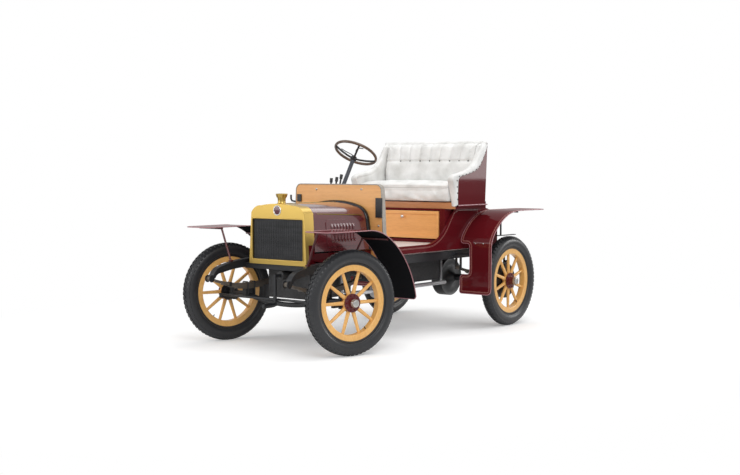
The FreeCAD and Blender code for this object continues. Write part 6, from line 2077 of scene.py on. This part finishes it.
@dataclass
class SteeringWheel:
    """Wooden rim, iron spider and hand lever of the steering wheel."""

    centre: Vector = field(default_factory=lambda: vec(-0.0675, -0.22, 1.347))
    tilt: float = atan(430.4 / 697.0)
    rim_radius: float = 0.162
    grip: float = 0.011
    dish: float = 0.05
    levers: tuple[tuple[Corner, ...], ...] = (
        ((0.0, 0.0, -0.03), (0.02, 0.02, -0.018), (0.055, 0.045, -0.012), (0.08, 0.075, -0.01), (0.074, 0.1, -0.006),
         (0.058, 0.112, 0.0)),
        ((0.0, 0.0, -0.034), (0.02, -0.02, -0.024), (0.06, -0.06, -0.018), (0.078, -0.082, -0.01)),
    )

    def place(self) -> Matrix:
        """Matrix that stands the wheel on its column."""
        return Matrix.Translation(self.centre) @ Matrix.Rotation(-self.tilt, 4, "Y")

    def build(self) -> None:
        """Build the wheel's pieces."""
        turns = [tau * index / 16 for index in range(16)]
        grip = [(self.grip * sin(turn), self.rim_radius + self.grip * 0.92 * cos(turn)) for turn in turns]
        body, place = "steering_wheel_body", self.place()
        settle(lathe("steering_rim", grip, 96), GRIP_WOOD, body, ["steering_wheel"], place)
        boss = [(-0.067, 0.0), (-0.067, 0.018), (-0.062, 0.024), (-0.042, 0.024), (-0.034, 0.019), (-0.03, 0.01),
                (-0.024, 0.009), (-0.021, 0.0)]
        settle(smooth_by_angle(lathe("steering_boss", boss, 32), 40), BLACK_IRON, body, place=place)
        lines = []
        for index in range(4):
            angle = tau * (index + 0.5) / 4
            spots = []
            for share in (0.06, 0.3, 0.6, 0.85, 1.0):
                height = -self.dish + (self.dish - 0.004) * share ** 1.7
                radius = self.rim_radius * share
                spots.append(vec(radius * cos(angle), radius * sin(angle), height))
            lines.append(spots)
        bars("steering_spokes", lines, 0.0076, BLACK_IRON, facets=10, body=body, place=place)
        levers = [[Vector(spot) for spot in lever] for lever in self.levers]
        bars("hand_levers", levers, 0.0036, BLACK_IRON, body=body, place=place)


# Running gear


@dataclass
class RunningGear:
    """Clips, bolts and rivets of the springs, axles and frame."""

    rail: float = 0.352
    spring_half: float = 0.018
    spring_radius: float = 1.29
    clip_reach: float = 0.382 * 0.52

    def build(self) -> None:
        """Dress the running gear."""
        self._u_bolts()
        self._clips()
        self._rivets()
        self._crank_grip()

    def _u_bolts(self) -> None:
        """Square-bent bolts that clamp the springs to the axles."""
        half, low, c = self.spring_half + 0.006, 0.325, 0.004
        y0, y1 = self.rail - half, self.rail + half
        lines = []
        for sign in SIDES.values():
            for x, top in ((FRONT_AXLE, 0.431), (REAR_AXLE, 0.422)):
                bend = ((y0, low), (y0, top), (y0 + c, top + c), (y1 - c, top + c), (y1, top), (y1, low))
                lines += [[vec(x + shift, sign * y, z) for y, z in bend] for shift in (-0.034, 0.034)]
        bars("spring_u_bolts", lines, 0.0048, BLACK_IRON)

    def _clips(self) -> None:
        """Bands that hold the leaves together."""
        half_y, half_z = self.spring_half + 0.003, 0.0155
        sizes = ((half_y, half_z), (half_y - 0.0035, half_z - 0.0015))
        loops = [[(-y, -z), (y, -z), (y, z), (-y, z)] for y, z in sizes]
        lean = asin(self.clip_reach / self.spring_radius)
        r = self.spring_radius + 0.0125
        pieces = []
        for sign in SIDES.values():
            for x, top in ((FRONT_AXLE, 0.428), (REAR_AXLE, 0.419)):
                for angle in (-lean, lean):
                    centre = top + self.spring_radius
                    spot = vec(x + r * sin(angle), sign * self.rail, centre - r * cos(angle))
                    clip = plate("clip", loops, across_car(-0.011, 1), 0.022, 0.001, 1)
                    clip.data.transform(Matrix.Translation(spot) @ Matrix.Rotation(-angle, 4, "Y"))
                    pieces.append(clip)
        settle(joined("spring_clips", pieces), BLACK_IRON)

    def _rivets(self) -> None:
        """Rivets along the side members."""
        lines = []
        for sign in SIDES.values():
            for x0, x1 in ((0.86, 0.55), (0.33, 0.24), (-0.46, -0.55), (-1.25, -1.33)):
                for z in (0.59, 0.552):
                    lines.append([vec(x0, sign * 0.3745, z), vec(x1, sign * 0.3745, z)])
        nails("frame_rivets", lines, 0.045, 0.0055, BLACK_IRON)

    def _crank_grip(self) -> None:
        """Turned grip on the starting crank."""
        profile = [(0.003, 0.0132), (0.006, 0.015), (0.03, 0.0166), (0.06, 0.017), (0.092, 0.016), (0.108, 0.0145),
                   (0.1115, 0.0132)]
        loop = profile + [(0.1115, 0.0122), (0.003, 0.0122)]
        grip = lathe("crank_grip_sleeve", loop, 28)
        settle(smooth_by_angle(grip, 45), BLACK_IRON, "starting_crank_body", place=forward_at(1.0945, 0, 0.304))


# CAD nodes that show as they are


@dataclass
class CarriedNodes:
    """Finishes of the CAD nodes, by the starts of their names."""

    finishes: tuple[tuple[Finish, str], ...] = (
        (BURGUNDY, "hub_ side_aprons body_sides rear_deck seat_box seat_board seat_tub"),
        (LEATHER, "seat_ arm_pads"), (WHEEL_WOOD, "wood_wheel_"), (OAK, "dashboard locker_door"),
        (RUBBER, "tyre_"), (RIM_STEEL, "rim_"), (BRASS, "radiator_shell"), (CORE_BLACK, "radiator_core"),
        (DULL_BRASS, "bonnet_hinge"), (BONNET_PAINT, "bonnet_"), (FENDER_TOP, "front_fenders"),
        (APRON_TOP, "rear_fenders"), (STAY_PAINT, "fender_irons"), (PALE_FLOOR, "floor_boards"),
        (SPRING_STEEL, "front_springs rear_springs"), (CAST_IRON, "engine_block gearbox"), (PIPE_STEEL, "exhaust"),
        (COLUMN_IRON, "steering_column"), (GRIP_WOOD, "steering_wheel"),
        (BLACK_IRON, "frame_rails cross_members front_axle rear_axle side_levers starting_crank knuckle_ track_rod"),
    )

    def dress(self, nodes: dict[str, Piece]) -> None:
        """Give every CAD node its finish.

        Args:
            nodes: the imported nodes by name.
        """
        for name, piece in nodes.items():
            finish = next(finish for finish, starts in self.finishes if name.startswith(tuple(starts.split())))
            SHOP.dress(piece, finish)
            LOG.info("%s: %s", name, finish.name)


def main() -> None:
    """Build the studio and dress the car, sub-assembly by sub-assembly."""
    logging.basicConfig(level=logging.INFO, format="%(message)s")
    Studio().build()
    CarriedNodes().dress(frame["nodes"])
    parts = (Radiator(), Bonnet(), Dashboard(), Bodywork(), Upholstery(), Fenders(), SteeringWheel(), RunningGear())
    for part in (*road_wheels(), *parts):
        part.build()


if __name__ == "__main__":
    main()
